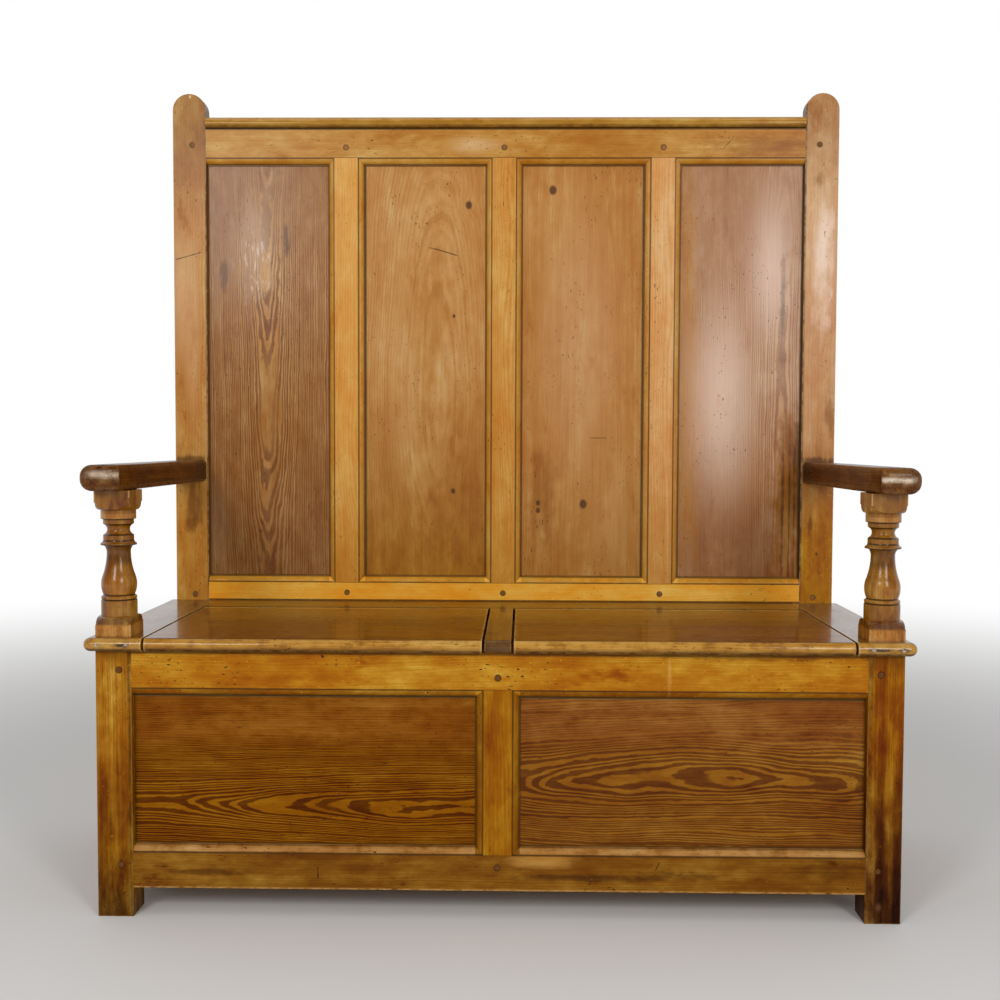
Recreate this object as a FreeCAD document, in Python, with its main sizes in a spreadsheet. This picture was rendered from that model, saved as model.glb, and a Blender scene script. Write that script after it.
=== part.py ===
import FreeCAD, Part
import operator
import os
from types import SimpleNamespace

import Sketcher
from FreeCAD import Placement, Rotation, Vector

# A panelled box settle in pegged pine: a tall panelled back, a box seat with two
# lids hinged at the rear, and flat arms on turned supports.
# X runs along the settle, the front faces -Y, and Z is up from the floor. The
# origin is on the floor, at the middle of the plan. All lengths are millimetres.

SIZES = {
    # Overall
    "frame_width": 1300,
    "frame_depth": 507,
    "back_height": 1452,
    "seat_height": 458,
    "arm_overhang": 38,
    # Posts, legs, rails and muntins
    "post_width": 64.5,
    "post_thickness": 32,
    "post_head": 45,
    "leg_side": 58,
    "rail_thickness": 28,
    "back_top_rail_face": 56,
    "back_rail_rise": 36,
    "back_rail_drop": 38,
    "seat_rail_face": 60.5,
    "bottom_rail_face": 58,
    "floor_gap": 48,
    "muntin_face": 46,
    "muntin_spacing": 310,
    "rear_muntin_face": 60,
    "capping_height": 23,
    "capping_projection": 6,
    "arris_radius": 1.2,
    "worn_arris_radius": 2.5,
    # Stuck moulding: a quarter round between two small steps
    "ovolo_radius": 9.5,
    "mould_step": 1.75,
    "mould_lip": 2.5,
    # Panels and their grooves
    "panel_thickness": 8,
    "panel_fit": 0.2,
    "panel_tongue": 8,
    "groove_depth": 9.5,
    # Tenons and pegs
    "tenon_length": 36,
    "tenon_shoulder": 8,
    "seat_rail_shoulder": 22,
    "tenon_end_gap": 1,
    "joint_fit": 0.1,
    "short_tenon_length": 25,
    "stub_tenon_length": 10,
    "muntin_tenon_width": 28,
    "muntin_tenon_length": 42,
    "peg_diameter": 9,
    "peg_fit": 0.05,
    "peg_proud": 0.4,
    "post_peg_offset": 27,
    "leg_peg_offset": 20,
    "side_peg_offset": 13,
    "back_peg_rise": 25,
    "seat_peg_rise": 29,
    "foot_peg_drop": 20,
    "muntin_peg_rise": 20,
    "short_peg_rise": 16,
    "peg_beyond": 1.75,
    # Seat boards and lids
    "seat_thickness": 22,
    "front_overhang": 18,
    "side_overhang": 16.5,
    "seat_end_width": 95.2,
    "seat_corner_radius": 13,
    "seat_strip_width": 104.5,
    "divider_width": 43,
    "divider_setback": 5,
    "lid_gap": 4,
    "lid_arris_radius": 1,
    "strip_arris_radius": 1.8,
    "tongue_thickness": 8,
    "tongue_length": 8,
    "tongue_inset": 14,
    "divider_tenon_width": 25,
    "divider_tenon_length": 20,
    "batten_width": 45,
    "batten_thickness": 20,
    "batten_inset": 70,
    "batten_clearance": 14,
    "bearer_width": 60,
    "bearer_height": 40,
    "bearer_tenon_width": 36,
    "bearer_tenon_top": 6,
    "bearer_tenon_height": 20,
    "bearer_tail_top": 3,
    "bearer_tail_height": 10,
    # Bottom of the box
    "ledger_side": 22,
    "ledger_drop": 9,
    "bottom_thickness": 12,
    "bottom_gap": 1,
    # Arms and their turned supports
    "arm_rise": 236,
    "arm_thickness": 42,
    "arm_corner_radius": 16,
    "arm_edge_radius": 14,
    "arm_front_splay": 12.5,
    "arm_back_splay": 4,
    "arm_tenon_width": 30,
    "arm_tenon_height": 24,
    "arm_tenon_length": 20,
    "support_side": 58,
    "support_depth": 68,
    "dowel_diameter": 22,
    "dowel_depth": 20,
    "block_height": 19.5,
    "shoulder_radius": 12.5,
    "drum_radius": 28.7,
    "drum_height": 24.5,
    "ring_cut": 1.6,
    "ring_height": 3.3,
    "step_height": 1.4,
    "waist_radius": 24.8,
    "waist_height": 2.9,
    "belly_radius": 28.4,
    "belly_height": 17,
    "neck_radius": 19,
    "neck_height": 10,
    "flare_radius": 28.7,
    "flare_height": 3,
    "fillet_radius": 24.4,
    "fillet_height": 7.5,
    "cove_rim_radius": 22.8,
    "cove_radius": 18,
    "cove_height": 16,
    "scotia_height": 5.5,
    "bead_height": 6.5,
    "collar_radius": 28,
    "collar_height": 14.5,
    # Butt hinges
    "hinge_length": 50,
    "hinge_inset": 90,
    "hinge_axis_drop": 1.5,
    "knuckle_radius": 2.5,
    "knuckle_gap": 0.3,
    "leaf_thickness": 1.5,
    "leaf_height": 19,
    "pin_radius": 1.25,
    "pin_fit": 0.02,
    "pin_running_fit": 0.05,
    "hinge_relief": 0.35,
    "screw_head_radius": 3,
    "screw_radius": 1.5,
    "screw_length": 16,
    "screw_fit": 0.05,
    "screw_drop": 11.5,
    # Nails in the seat end boards
    "nail_head_radius": 3.2,
    "nail_head_thickness": 1.2,
    "nail_radius": 1.8,
    "nail_length": 40,
    "nail_inset": 24,
    "nail_fit": 0.05,
}

BOTTOM_BOARDS = 5
KNUCKLES = 5
SCREWS_PER_LEAF = 3

doc = FreeCAD.newDocument("panelled_box_settle")
sheet = doc.addObject("Spreadsheet::Sheet", "Sizes")
for row, (alias, millimetres) in enumerate(SIZES.items(), start=1):
    sheet.set(f"A{row}", alias)
    sheet.set(f"B{row}", str(millimetres))
    sheet.setAlias(f"B{row}", alias)
doc.recompute()


# Sizes that keep their formula

OPERATORS = {
    "+": operator.add,
    "-": operator.sub,
    "*": operator.mul,
    "/": operator.truediv,
}


class Size:
    """A length worked out from the sheet: its formula, and its number now."""

    def __init__(self, formula, number):
        self.formula = formula
        self.number = number

    def __add__(self, other):
        return combine(self, "+", other)

    def __radd__(self, other):
        return combine(other, "+", self)

    def __sub__(self, other):
        return combine(self, "-", other)

    def __rsub__(self, other):
        return combine(other, "-", self)

    def __mul__(self, other):
        return combine(self, "*", other)

    def __rmul__(self, other):
        return combine(other, "*", self)

    def __truediv__(self, other):
        return combine(self, "/", other)

    def __neg__(self):
        return combine(0, "-", self)


def formula_of(value):
    return value.formula if isinstance(value, Size) else str(value)


def number_of(value):
    return value.number if isinstance(value, Size) else value


def combine(first, sign, second):
    number = OPERATORS[sign](number_of(first), number_of(second))
    return Size(f"({formula_of(first)} {sign} {formula_of(second)})", number)


def bind(item, **values):
    """Ties properties of an object to their formulas."""
    for name, value in values.items():
        item.setExpression(name, formula_of(value))


def place(item, x=0, y=0, z=0, turn=None):
    if turn is not None:
        item.Placement = Placement(Vector(), turn)
    for axis, value in zip("xyz", (x, y, z)):
        item.setExpression(f"Placement.Base.{axis}", formula_of(value))


s = SimpleNamespace(**{alias: Size(f"Sizes.{alias}", value) for alias, value in SIZES.items()})

# Places that several pieces share

half_width = s.frame_width / 2
leg_front_y = s.arm_overhang - (s.arm_overhang + s.frame_depth) / 2
leg_back_y = leg_front_y + s.leg_side
post_back_y = leg_front_y + s.frame_depth
post_front_y = post_back_y - s.post_thickness
arm_front_y = leg_front_y - s.arm_overhang
nose_y = leg_front_y - s.front_overhang
rail_back_y = leg_front_y + s.rail_thickness
post_inner_x = half_width - s.post_width
leg_inner_x = half_width - s.leg_side
side_inner_x = half_width - s.rail_thickness

mould_width = s.ovolo_radius + 2 * s.mould_step
mould_depth = s.ovolo_radius + s.mould_step
groove_front = mould_depth + s.mould_lip
groove_back = groove_front + s.panel_thickness + s.panel_fit
pierce = groove_back + s.peg_beyond

seat_under_z = s.seat_height - s.seat_thickness
seat_rail_edge_z = seat_under_z - s.seat_rail_face - mould_width
bottom_rail_edge_z = s.floor_gap + s.bottom_rail_face + mould_width
back_rail_low_z = s.seat_height - s.back_rail_drop
back_rail_edge_z = s.seat_height + s.back_rail_rise + mould_width
capping_z = s.back_height - s.post_head - s.capping_height
top_rail_edge_z = capping_z - s.back_top_rail_face - mould_width
rear_rail_top_z = s.floor_gap + s.bottom_rail_face
arm_z = s.seat_height + s.arm_rise

strip_front_y = post_front_y - s.seat_strip_width
lid_back_y = strip_front_y - s.lid_gap
hinge_y = strip_front_y - s.lid_gap / 2
hinge_z = s.seat_height - s.hinge_axis_drop
seat_outer_x = half_width + s.side_overhang
seat_end_inner_x = seat_outer_x - s.seat_end_width
lid_outer_x = seat_end_inner_x - s.lid_gap
lid_inner_x = s.divider_width / 2 + s.lid_gap

support_centre_y = leg_front_y + s.support_depth / 2
leg_centre_x = half_width - s.leg_side / 2


# Sketches and features

AXIS_OF_PLANE = {"XY_Plane": "z", "XZ_Plane": "y", "YZ_Plane": "x"}
NORMAL_OF_PLANE = {"XY_Plane": "+z", "XZ_Plane": "-y", "YZ_Plane": "+x"}


def new_body(name):
    body = doc.addObject("PartDesign::Body", name)
    body.Label = name
    return body


def sketch_on(body, role, at=0):
    """A sketch on one of the body's own planes, moved along that plane's axis."""
    plane = next(f for f in body.Origin.OriginFeatures if f.Role == role)
    sketch = body.newObject("Sketcher::SketchObject", "Sketch")
    sketch.AttachmentSupport = (plane, [""])
    sketch.MapMode = "FlatFace"
    offset = -at if NORMAL_OF_PLANE[role][0] == "-" else at
    sketch.setExpression("AttachmentOffset.Base.z", formula_of(offset))
    return sketch


def hold(sketch, kind, geometry, point, value):
    """Keeps one coordinate of a point at a bound distance from the origin."""
    if isinstance(value, Size):
        constraint = Sketcher.Constraint(kind, -1, 1, geometry, point, value.number)
        index = sketch.addConstraint(constraint)
        sketch.setExpression(f"Constraints[{index}]", value.formula)
    elif value == 0:
        axis = -2 if kind == "DistanceX" else -1
        sketch.addConstraint(Sketcher.Constraint("PointOnObject", geometry, point, axis))
    else:
        sketch.addConstraint(Sketcher.Constraint(kind, -1, 1, geometry, point, value))


def arc_between(start, end, centre, turn):
    """The arc from start to end about a centre, turning left or right."""
    first, last = (start, end) if turn == "left" else (end, start)
    circle = Part.Circle(centre, Vector(0, 0, 1), (start - centre).Length)
    return Part.ArcOfCircle(circle, circle.parameter(first), circle.parameter(last))


def outline(sketch, corners, arcs=None):
    """A closed loop through corners (u, v). arcs maps the number of a side to its
    (centre u, centre v, turn)."""
    arcs = arcs or {}
    first = sketch.GeometryCount
    points = [Vector(number_of(u), number_of(v), 0) for u, v in corners]
    ends = []
    for side, start in enumerate(points):
        end = points[(side + 1) % len(points)]
        if side in arcs:
            u, v, turn = arcs[side]
            centre = Vector(number_of(u), number_of(v), 0)
            sketch.addGeometry(arc_between(start, end, centre, turn), False)
            ends.append((1, 2) if turn == "left" else (2, 1))
        else:
            sketch.addGeometry(Part.LineSegment(start, end), False)
            ends.append((1, 2))
    for side, (u, v) in enumerate(corners):
        before = (side - 1) % len(corners)
        here = (first + side, ends[side][0])
        join = Sketcher.Constraint("Coincident", first + before, ends[before][1], *here)
        sketch.addConstraint(join)
        hold(sketch, "DistanceX", *here, u)
        hold(sketch, "DistanceY", *here, v)
    for side, (u, v, turn) in arcs.items():
        chord = points[(side + 1) % len(points)] - points[side]
        if abs(chord.x) >= abs(chord.y):
            hold(sketch, "DistanceY", first + side, 3, v)
        else:
            hold(sketch, "DistanceX", first + side, 3, u)


def rectangle(sketch, low, high):
    (u0, v0), (u1, v1) = low, high
    outline(sketch, [(u0, v0), (u1, v0), (u1, v1), (u0, v1)])


def circles(sketch, centres, radius):
    for u, v in centres:
        centre = Vector(number_of(u), number_of(v), 0)
        circle = Part.Circle(centre, Vector(0, 0, 1), number_of(radius))
        index = sketch.addGeometry(circle, False)
        hold(sketch, "DistanceX", index, 3, u)
        hold(sketch, "DistanceY", index, 3, v)
        size = sketch.addConstraint(Sketcher.Constraint("Radius", index, number_of(radius)))
        sketch.setExpression(f"Constraints[{size}]", formula_of(radius))


def role_of(sketch):
    return sketch.AttachmentSupport[0][0].Role


def pad(body, sketch, length, towards):
    feature = body.newObject("PartDesign::Pad", "Pad")
    feature.Profile = sketch
    feature.Reversed = NORMAL_OF_PLANE[role_of(sketch)] != towards
    bind(feature, Length=length)
    return feature


def pocket(body, sketch, towards, depth=None):
    """Cuts a sketch into the body, right through if no depth is given."""
    feature = body.newObject("PartDesign::Pocket", "Pocket")
    feature.Profile = sketch
    feature.Reversed = NORMAL_OF_PLANE[role_of(sketch)] == towards
    if depth is None:
        feature.Type = "ThroughAll"
    else:
        bind(feature, Length=depth)
    return feature


def soften(body, radius, chosen):
    """Rounds the edges of the body's last feature that the test picks."""
    doc.recompute()
    base = body.Tip
    names = [f"Edge{i}" for i, edge in enumerate(base.Shape.Edges, 1) if chosen(edge.BoundBox)]
    feature = body.newObject("PartDesign::Fillet", "Fillet")
    feature.Base = (base, names)
    bind(feature, Radius=radius)
    return feature


def near(a, b):
    return abs(a - number_of(b)) < 0.01


def box(name, low, high):
    """A rectangular block between two opposite corners."""
    block = doc.addObject("Part::Box", name)
    bind(block, Length=high[0] - low[0], Width=high[1] - low[1], Height=high[2] - low[2])
    place(block, *low)
    return block


TURN_TO = {
    "+z": Rotation(),
    "-y": Rotation(Vector(1, 0, 0), 90),
    "+y": Rotation(Vector(1, 0, 0), -90),
    "+x": Rotation(Vector(0, 1, 0), 90),
}


def cylinder(name, base, radius, length, towards):
    rod = doc.addObject("Part::Cylinder", name)
    bind(rod, Radius=radius, Height=length)
    place(rod, *base, turn=TURN_TO[towards])
    return rod


def cone(name, base, base_radius, tip_radius, length, towards):
    taper = doc.addObject("Part::Cone", name)
    bind(taper, Radius1=base_radius, Radius2=tip_radius, Height=length)
    place(taper, *base, turn=TURN_TO[towards])
    return taper


def fuse(name, shapes):
    whole = doc.addObject("Part::MultiFuse", name)
    whole.Shapes = shapes
    return whole


def cut(name, base, tool):
    rest = doc.addObject("Part::Cut", name)
    rest.Base = base
    rest.Tool = tool
    return rest


def group(name, shapes):
    """Separate solids that share a node."""
    several = doc.addObject("Part::Compound", name)
    several.Links = shapes
    return several


def mirrored(name, source):
    """The right-hand copy of a left-hand piece."""
    copy = doc.addObject("Part::Mirroring", name)
    copy.Source = source
    copy.Normal = Vector(1, 0, 0)
    return copy


nodes = []


def node(item):
    """Marks an object as a finished piece of the settle."""
    item.Label = item.Name
    nodes.append(item)
    return item


def node_pair(name, build):
    """A left-hand piece and its mirror image."""
    left = node(build(f"{name}_left"))
    node(mirrored(f"{name}_right", left))
    return left


# Frame members

def low_edge(kind, thickness):
    """The lower edge of a rail's section, from its back to its face."""
    if kind == "plain":
        return [(thickness, 0), (0, 0)], {}
    groove = [
        (thickness, 0),
        (groove_back, 0),
        (groove_back, s.groove_depth),
        (groove_front, s.groove_depth),
        (groove_front, 0),
    ]
    if kind == "grooved":
        return groove + [(0, 0)], {}
    moulding = [
        (mould_depth, 0),
        (mould_depth, s.mould_step),
        (s.mould_step, mould_depth),
        (s.mould_step, mould_width),
        (0, mould_width),
    ]
    return groove + moulding, {6: (mould_depth, mould_depth, "right")}


def rail_section(low_kind, high_kind, thickness, height):
    low, low_arcs = low_edge(low_kind, thickness)
    high, high_arcs = low_edge(high_kind, thickness)
    corners = low + [(y, height - z) for y, z in reversed(high)]
    arcs = dict(low_arcs)
    for side, (y, z, turn) in high_arcs.items():
        arcs[len(corners) - 2 - side] = (y, height - z, turn)
    return corners, arcs


def tenon_band(low_kind, high_kind, height, top_shoulder):
    """The heights between which a rail's tenons stand."""
    edge = {"plain": 0, "grooved": s.groove_depth, "moulded": mould_width}
    low = edge[low_kind] + s.tenon_shoulder
    return low, height - edge[high_kind] - top_shoulder


def rail(name, length, height, low_kind, high_kind, reach, top_shoulder=s.tenon_shoulder):
    """A rail with its face at y = 0 and its left shoulder at x = 0, and a tenon of
    the given reach at each end."""
    body = new_body(name)
    section = sketch_on(body, "YZ_Plane")
    outline(section, *rail_section(low_kind, high_kind, s.rail_thickness, height))
    pad(body, section, length, "+x")
    low, high = tenon_band(low_kind, high_kind, height, top_shoulder)
    for at, towards in ((0, "-x"), (length, "+x")):
        end = sketch_on(body, "YZ_Plane", at)
        rectangle(end, (groove_front, low), (groove_back, high))
        pad(body, end, reach, towards)
    return body


def house_muntins(body, centres, face, edge_z, inward):
    """Mitred housings and mortises in a rail's moulded edge. inward is 1 where
    the muntins come from below and -1 where they come from above."""
    housing = sketch_on(body, "XZ_Plane")
    for x in centres:
        wide = face / 2 + mould_width
        outline(
            housing,
            [
                (x - wide, edge_z),
                (x + wide, edge_z),
                (x + face / 2, edge_z + inward * mould_width),
                (x - face / 2, edge_z + inward * mould_width),
            ],
        )
    pocket(body, housing, "+y")
    mortise_muntins(body, centres, edge_z, inward)


def mortise_muntins(body, centres, edge_z, inward):
    mortises = sketch_on(body, "XY_Plane", edge_z)
    half = s.muntin_tenon_width / 2 + s.joint_fit
    for x in centres:
        rectangle(mortises, (x - half, groove_front), (x + half, groove_back))
    depth = s.muntin_tenon_length + s.tenon_end_gap
    pocket(body, mortises, "+z" if inward > 0 else "-z", depth)


def bore(body, centres, towards="+y", at=0, depth=None):
    """Peg holes from a face of a member, right through if no depth is given."""
    role = {"y": "XZ_Plane", "x": "YZ_Plane"}[towards[1]]
    holes = sketch_on(body, role, at)
    circles(holes, centres, s.peg_diameter / 2 + s.peg_fit)
    return pocket(body, holes, towards, depth)


def muntin(name, face, length):
    """A moulded upright, mitred at both ends, with x = 0 at its left moulding and
    z = 0 at the edge of the lower rail."""
    body = new_body(name)
    width = face + 2 * mould_width
    right, right_arcs = muntin_side(width)
    left, left_arcs = muntin_side(0)
    corners = right + list(reversed(left))
    arcs = dict(right_arcs)
    for side, (x, y, turn) in left_arcs.items():
        arcs[len(corners) - 2 - side] = (x, y, turn)
    section = sketch_on(body, "XY_Plane", -mould_width)
    outline(section, corners, arcs)
    pad(body, section, length + 2 * mould_width, "+z")
    mitres = sketch_on(body, "XZ_Plane")
    for edge, outward in ((0, -1), (length, 1)):
        for x, inward in ((0, 1), (width, -1)):
            tip = edge + outward * mould_width
            corner = (x + inward * mould_width, tip)
            outline(mitres, [(x, edge), corner, (x, tip)])
    pocket(body, mitres, "+y")
    for at, towards in ((-mould_width, "-z"), (length + mould_width, "+z")):
        end = sketch_on(body, "XY_Plane", at)
        half = s.muntin_tenon_width / 2
        rectangle(end, (width / 2 - half, groove_front), (width / 2 + half, groove_back))
        pad(body, end, s.muntin_tenon_length - mould_width, towards)
    reach = mould_width + s.muntin_peg_rise
    bore(body, [(width / 2, -reach), (width / 2, length + reach)])
    return body


def muntin_side(x):
    """One moulded and grooved side of a muntin's section, from face to back."""
    inward = 1 if number_of(x) == 0 else -1
    corners = [
        (x + inward * mould_width, 0),
        (x + inward * mould_width, s.mould_step),
        (x + inward * mould_depth, s.mould_step),
        (x + inward * s.mould_step, mould_depth),
        (x, mould_depth),
        (x, groove_front),
        (x + inward * s.groove_depth, groove_front),
        (x + inward * s.groove_depth, groove_back),
        (x, groove_back),
        (x, s.rail_thickness),
    ]
    centre = (x + inward * mould_depth, mould_depth, "left")
    return corners, {2: centre}


def panel(name, x_low, x_high, z_low, z_high, face_y):
    """A flat panel whose edges stand in grooves past the opening it fills."""
    y = face_y + groove_front + s.panel_fit / 2
    low = (x_low - s.panel_tongue, y, z_low - s.panel_tongue)
    high = (x_high + s.panel_tongue, y + s.panel_thickness, z_high + s.panel_tongue)
    return node(box(name, low, high))


def mortise(body, low, high, towards, at, depth):
    """A mortise or groove between two corners, from a face of a member."""
    role = {"x": "YZ_Plane", "y": "XZ_Plane", "z": "XY_Plane"}[towards[1]]
    sketch = sketch_on(body, role, at)
    rectangle(sketch, low, high)
    return pocket(body, sketch, towards, depth)


def band_above(z, low_kind, high_kind, height, top_shoulder=s.tenon_shoulder):
    """The heights of a rail's mortise, for a rail whose lower edge is at z."""
    low, high = tenon_band(low_kind, high_kind, height, top_shoulder)
    return z + low - s.joint_fit, z + high + s.joint_fit


# Posts and legs

back_top_height = s.back_top_rail_face + mould_width
back_bottom_height = back_rail_edge_z - back_rail_low_z
seat_rail_height = s.seat_rail_face + mould_width
bottom_rail_height = s.bottom_rail_face + mould_width

TOP_RAIL = ("moulded", "plain", back_top_height)
BACK_RAIL = ("grooved", "moulded", back_bottom_height)
SEAT_RAIL = ("moulded", "plain", seat_rail_height)
BOTTOM_RAIL = ("plain", "moulded", bottom_rail_height)
REAR_RAIL = ("plain", "grooved", s.bottom_rail_face)

top_peg_z = top_rail_edge_z + mould_width + s.back_peg_rise
back_peg_z = back_rail_edge_z - mould_width - s.back_peg_rise
rear_peg_z = s.floor_gap + s.bottom_rail_face / 2
seat_peg_z = seat_rail_edge_z + mould_width + s.seat_peg_rise
foot_peg_z = bottom_rail_edge_z - mould_width - s.foot_peg_drop

seat_band = band_above(seat_rail_edge_z, *SEAT_RAIL, s.seat_rail_shoulder)
bottom_band = band_above(s.floor_gap, *BOTTOM_RAIL)
panel_band = (bottom_rail_edge_z - s.groove_depth, seat_rail_edge_z + s.groove_depth)


def upright_slot(body, band, towards, at, depth):
    """A mortise or groove in a post or leg, at the depth of the panels."""
    mortise(body, (groove_front, band[0]), (groove_back, band[1]), towards, at, depth)


def back_post(name):
    """A post with its outer edge at x = 0, its face at y = 0 and a round head."""
    body = new_body(name)
    face = sketch_on(body, "XZ_Plane")
    spring = s.back_height - s.post_width / 2
    corners = [(0, 0), (s.post_width, 0), (s.post_width, spring), (0, spring)]
    outline(face, corners, {2: (s.post_width / 2, spring, "left")})
    pad(body, face, s.post_thickness, "+y")
    soften(body, s.arris_radius, lambda b: b.YLength < 0.01 and b.ZMax > 1)

    inner = s.post_width
    reach = s.tenon_length + s.tenon_end_gap
    upright_slot(body, band_above(top_rail_edge_z, *TOP_RAIL), "-x", inner, reach)
    upright_slot(body, band_above(back_rail_low_z, *BACK_RAIL), "-x", inner, reach)
    upright_slot(body, band_above(s.floor_gap, *REAR_RAIL), "-x", inner, reach)
    back_band = (back_rail_edge_z - s.groove_depth, top_rail_edge_z + s.groove_depth)
    rear_band = (rear_rail_top_z - s.groove_depth, back_rail_low_z + s.groove_depth)
    upright_slot(body, back_band, "-x", inner, s.groove_depth)
    upright_slot(body, rear_band, "-x", inner, s.groove_depth)

    short_reach = s.short_tenon_length + s.tenon_end_gap
    upright_slot(body, seat_band, "+y", 0, short_reach)
    upright_slot(body, bottom_band, "+y", 0, short_reach)
    upright_slot(body, panel_band, "+y", 0, s.groove_depth)

    peg_x = inner - s.post_peg_offset
    bore(body, [(peg_x, top_peg_z), (peg_x, back_peg_z)])
    rear_depth = s.post_thickness - groove_front + s.peg_beyond
    bore(body, [(peg_x, rear_peg_z)], "-y", s.post_thickness, rear_depth)
    side_pegs = [(s.side_peg_offset, seat_peg_z), (s.side_peg_offset, foot_peg_z)]
    bore(body, side_pegs, "+x", 0, pierce)

    middle_x = s.post_width / 2
    middle_z = arm_z + s.arm_thickness / 2
    half = s.arm_tenon_width / 2 + s.joint_fit
    high = s.arm_tenon_height / 2 + s.joint_fit
    depth = s.arm_tenon_length + s.tenon_end_gap
    low_corner = (middle_x - half, middle_z - high)
    mortise(body, low_corner, (middle_x + half, middle_z + high), "+y", 0, depth)
    place(body, -half_width, post_front_y, 0)
    return body


def front_leg(name):
    """A square leg with its outer face at x = 0 and its front face at y = 0."""
    body = new_body(name)
    plan = sketch_on(body, "XY_Plane")
    rectangle(plan, (0, 0), (s.leg_side, s.leg_side))
    pad(body, plan, seat_under_z, "+z")
    soften(body, s.arris_radius, lambda b: b.ZLength > 1)

    inner = s.leg_side
    reach = s.tenon_length + s.tenon_end_gap
    upright_slot(body, seat_band, "-x", inner, reach)
    upright_slot(body, bottom_band, "-x", inner, reach)
    upright_slot(body, panel_band, "-x", inner, s.groove_depth)
    short_reach = s.short_tenon_length + s.tenon_end_gap
    upright_slot(body, seat_band, "-y", inner, short_reach)
    upright_slot(body, bottom_band, "-y", inner, short_reach)
    upright_slot(body, panel_band, "-y", inner, s.groove_depth)

    peg_x = inner - s.leg_peg_offset
    bore(body, [(peg_x, seat_peg_z), (peg_x, foot_peg_z)], "+y", 0, pierce)
    side_y = s.leg_side - s.side_peg_offset
    bore(body, [(side_y, seat_peg_z), (side_y, foot_peg_z)], "+x", 0, pierce)

    socket = sketch_on(body, "XY_Plane", seat_under_z)
    centre = (s.leg_side / 2, s.support_depth / 2)
    circles(socket, [centre], s.dowel_diameter / 2 + s.peg_fit)
    pocket(body, socket, "-z", s.dowel_depth + s.tenon_end_gap)
    place(body, -half_width, leg_front_y, 0)
    return body


node_pair("back_post", back_post)
node_pair("front_leg", front_leg)


# The back: rails, capping, muntins and panels

back_length = 2 * post_inner_x
back_centres = [
    back_length / 2 - s.muntin_spacing,
    back_length / 2,
    back_length / 2 + s.muntin_spacing,
]
muntin_half = s.muntin_face / 2 + mould_width
tenon_peg_xs = (-s.post_peg_offset, back_length + s.post_peg_offset)

top_rail = node(rail("back_top_rail", back_length, back_top_height, *TOP_RAIL[:2], s.tenon_length))
house_muntins(top_rail, back_centres, s.muntin_face, 0, 1)
muntin_peg_height = mould_width + s.muntin_peg_rise
bore(top_rail, [(x, muntin_peg_height) for x in back_centres])
bore(top_rail, [(x, mould_width + s.back_peg_rise) for x in tenon_peg_xs])
place(top_rail, -post_inner_x, post_front_y, top_rail_edge_z)

capping = new_body("top_capping")
section = sketch_on(capping, "YZ_Plane")
nose_radius = s.capping_height / 2
round_y = nose_radius - s.capping_projection
corners = [
    (s.post_thickness, 0),
    (round_y, 0),
    (round_y, s.capping_height),
    (s.post_thickness, s.capping_height),
]
outline(section, corners, {1: (round_y, nose_radius, "right")})
pad(capping, section, back_length, "+x")
place(node(capping), -post_inner_x, post_front_y, capping_z)

back_rail = node(
    rail("back_bottom_rail", back_length, back_bottom_height, *BACK_RAIL[:2], s.tenon_length)
)
house_muntins(back_rail, back_centres, s.muntin_face, back_bottom_height, -1)
bore(back_rail, [(x, back_bottom_height - muntin_peg_height) for x in back_centres])
bore(back_rail, [(x, back_peg_z - back_rail_low_z) for x in tenon_peg_xs])
rear_pierce = s.rail_thickness - groove_front + s.peg_beyond
bore(back_rail, [(back_length / 2, s.short_peg_rise)], "-y", s.rail_thickness, rear_pierce)
half = s.muntin_tenon_width / 2 + s.joint_fit
mortise(
    back_rail,
    (back_length / 2 - half, groove_front),
    (back_length / 2 + half, groove_back),
    "+z",
    0,
    s.short_tenon_length + s.tenon_end_gap,
)
tongue_low = seat_under_z + (s.seat_thickness - s.tongue_thickness) / 2 - back_rail_low_z
mortise(
    back_rail,
    (0, tongue_low - s.joint_fit),
    (back_length, tongue_low + s.tongue_thickness + s.joint_fit),
    "+y",
    0,
    s.tongue_length + s.tenon_end_gap,
)
tail_top = seat_under_z - s.bearer_tail_top - back_rail_low_z
tail_half = s.bearer_tenon_width / 2 + s.joint_fit
mortise(
    back_rail,
    (back_length / 2 - tail_half, tail_top - s.bearer_tail_height - s.joint_fit),
    (back_length / 2 + tail_half, tail_top + s.joint_fit),
    "+y",
    0,
    s.stub_tenon_length + s.tenon_end_gap,
)
place(back_rail, -post_inner_x, post_front_y, back_rail_low_z)

back_opening = top_rail_edge_z - back_rail_edge_z
muntin_xs = (-s.muntin_spacing, 0, s.muntin_spacing)
for side, x in zip(("left", "centre", "right"), muntin_xs):
    upright = node(muntin(f"back_muntin_{side}", s.muntin_face, back_opening))
    place(upright, x - muntin_half, post_front_y, back_rail_edge_z)

lefts = (-post_inner_x, muntin_half - s.muntin_spacing, muntin_half, s.muntin_spacing + muntin_half)
rights = (-s.muntin_spacing - muntin_half, -muntin_half, s.muntin_spacing - muntin_half, post_inner_x)
for number, (low, high) in enumerate(zip(lefts, rights), 1):
    panel(f"back_panel_{number}", low, high, back_rail_edge_z, top_rail_edge_z, post_front_y)


# The front of the box

front_length = 2 * leg_inner_x
front_centre = front_length / 2
leg_peg_xs = (-s.leg_peg_offset, front_length + s.leg_peg_offset)

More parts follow.
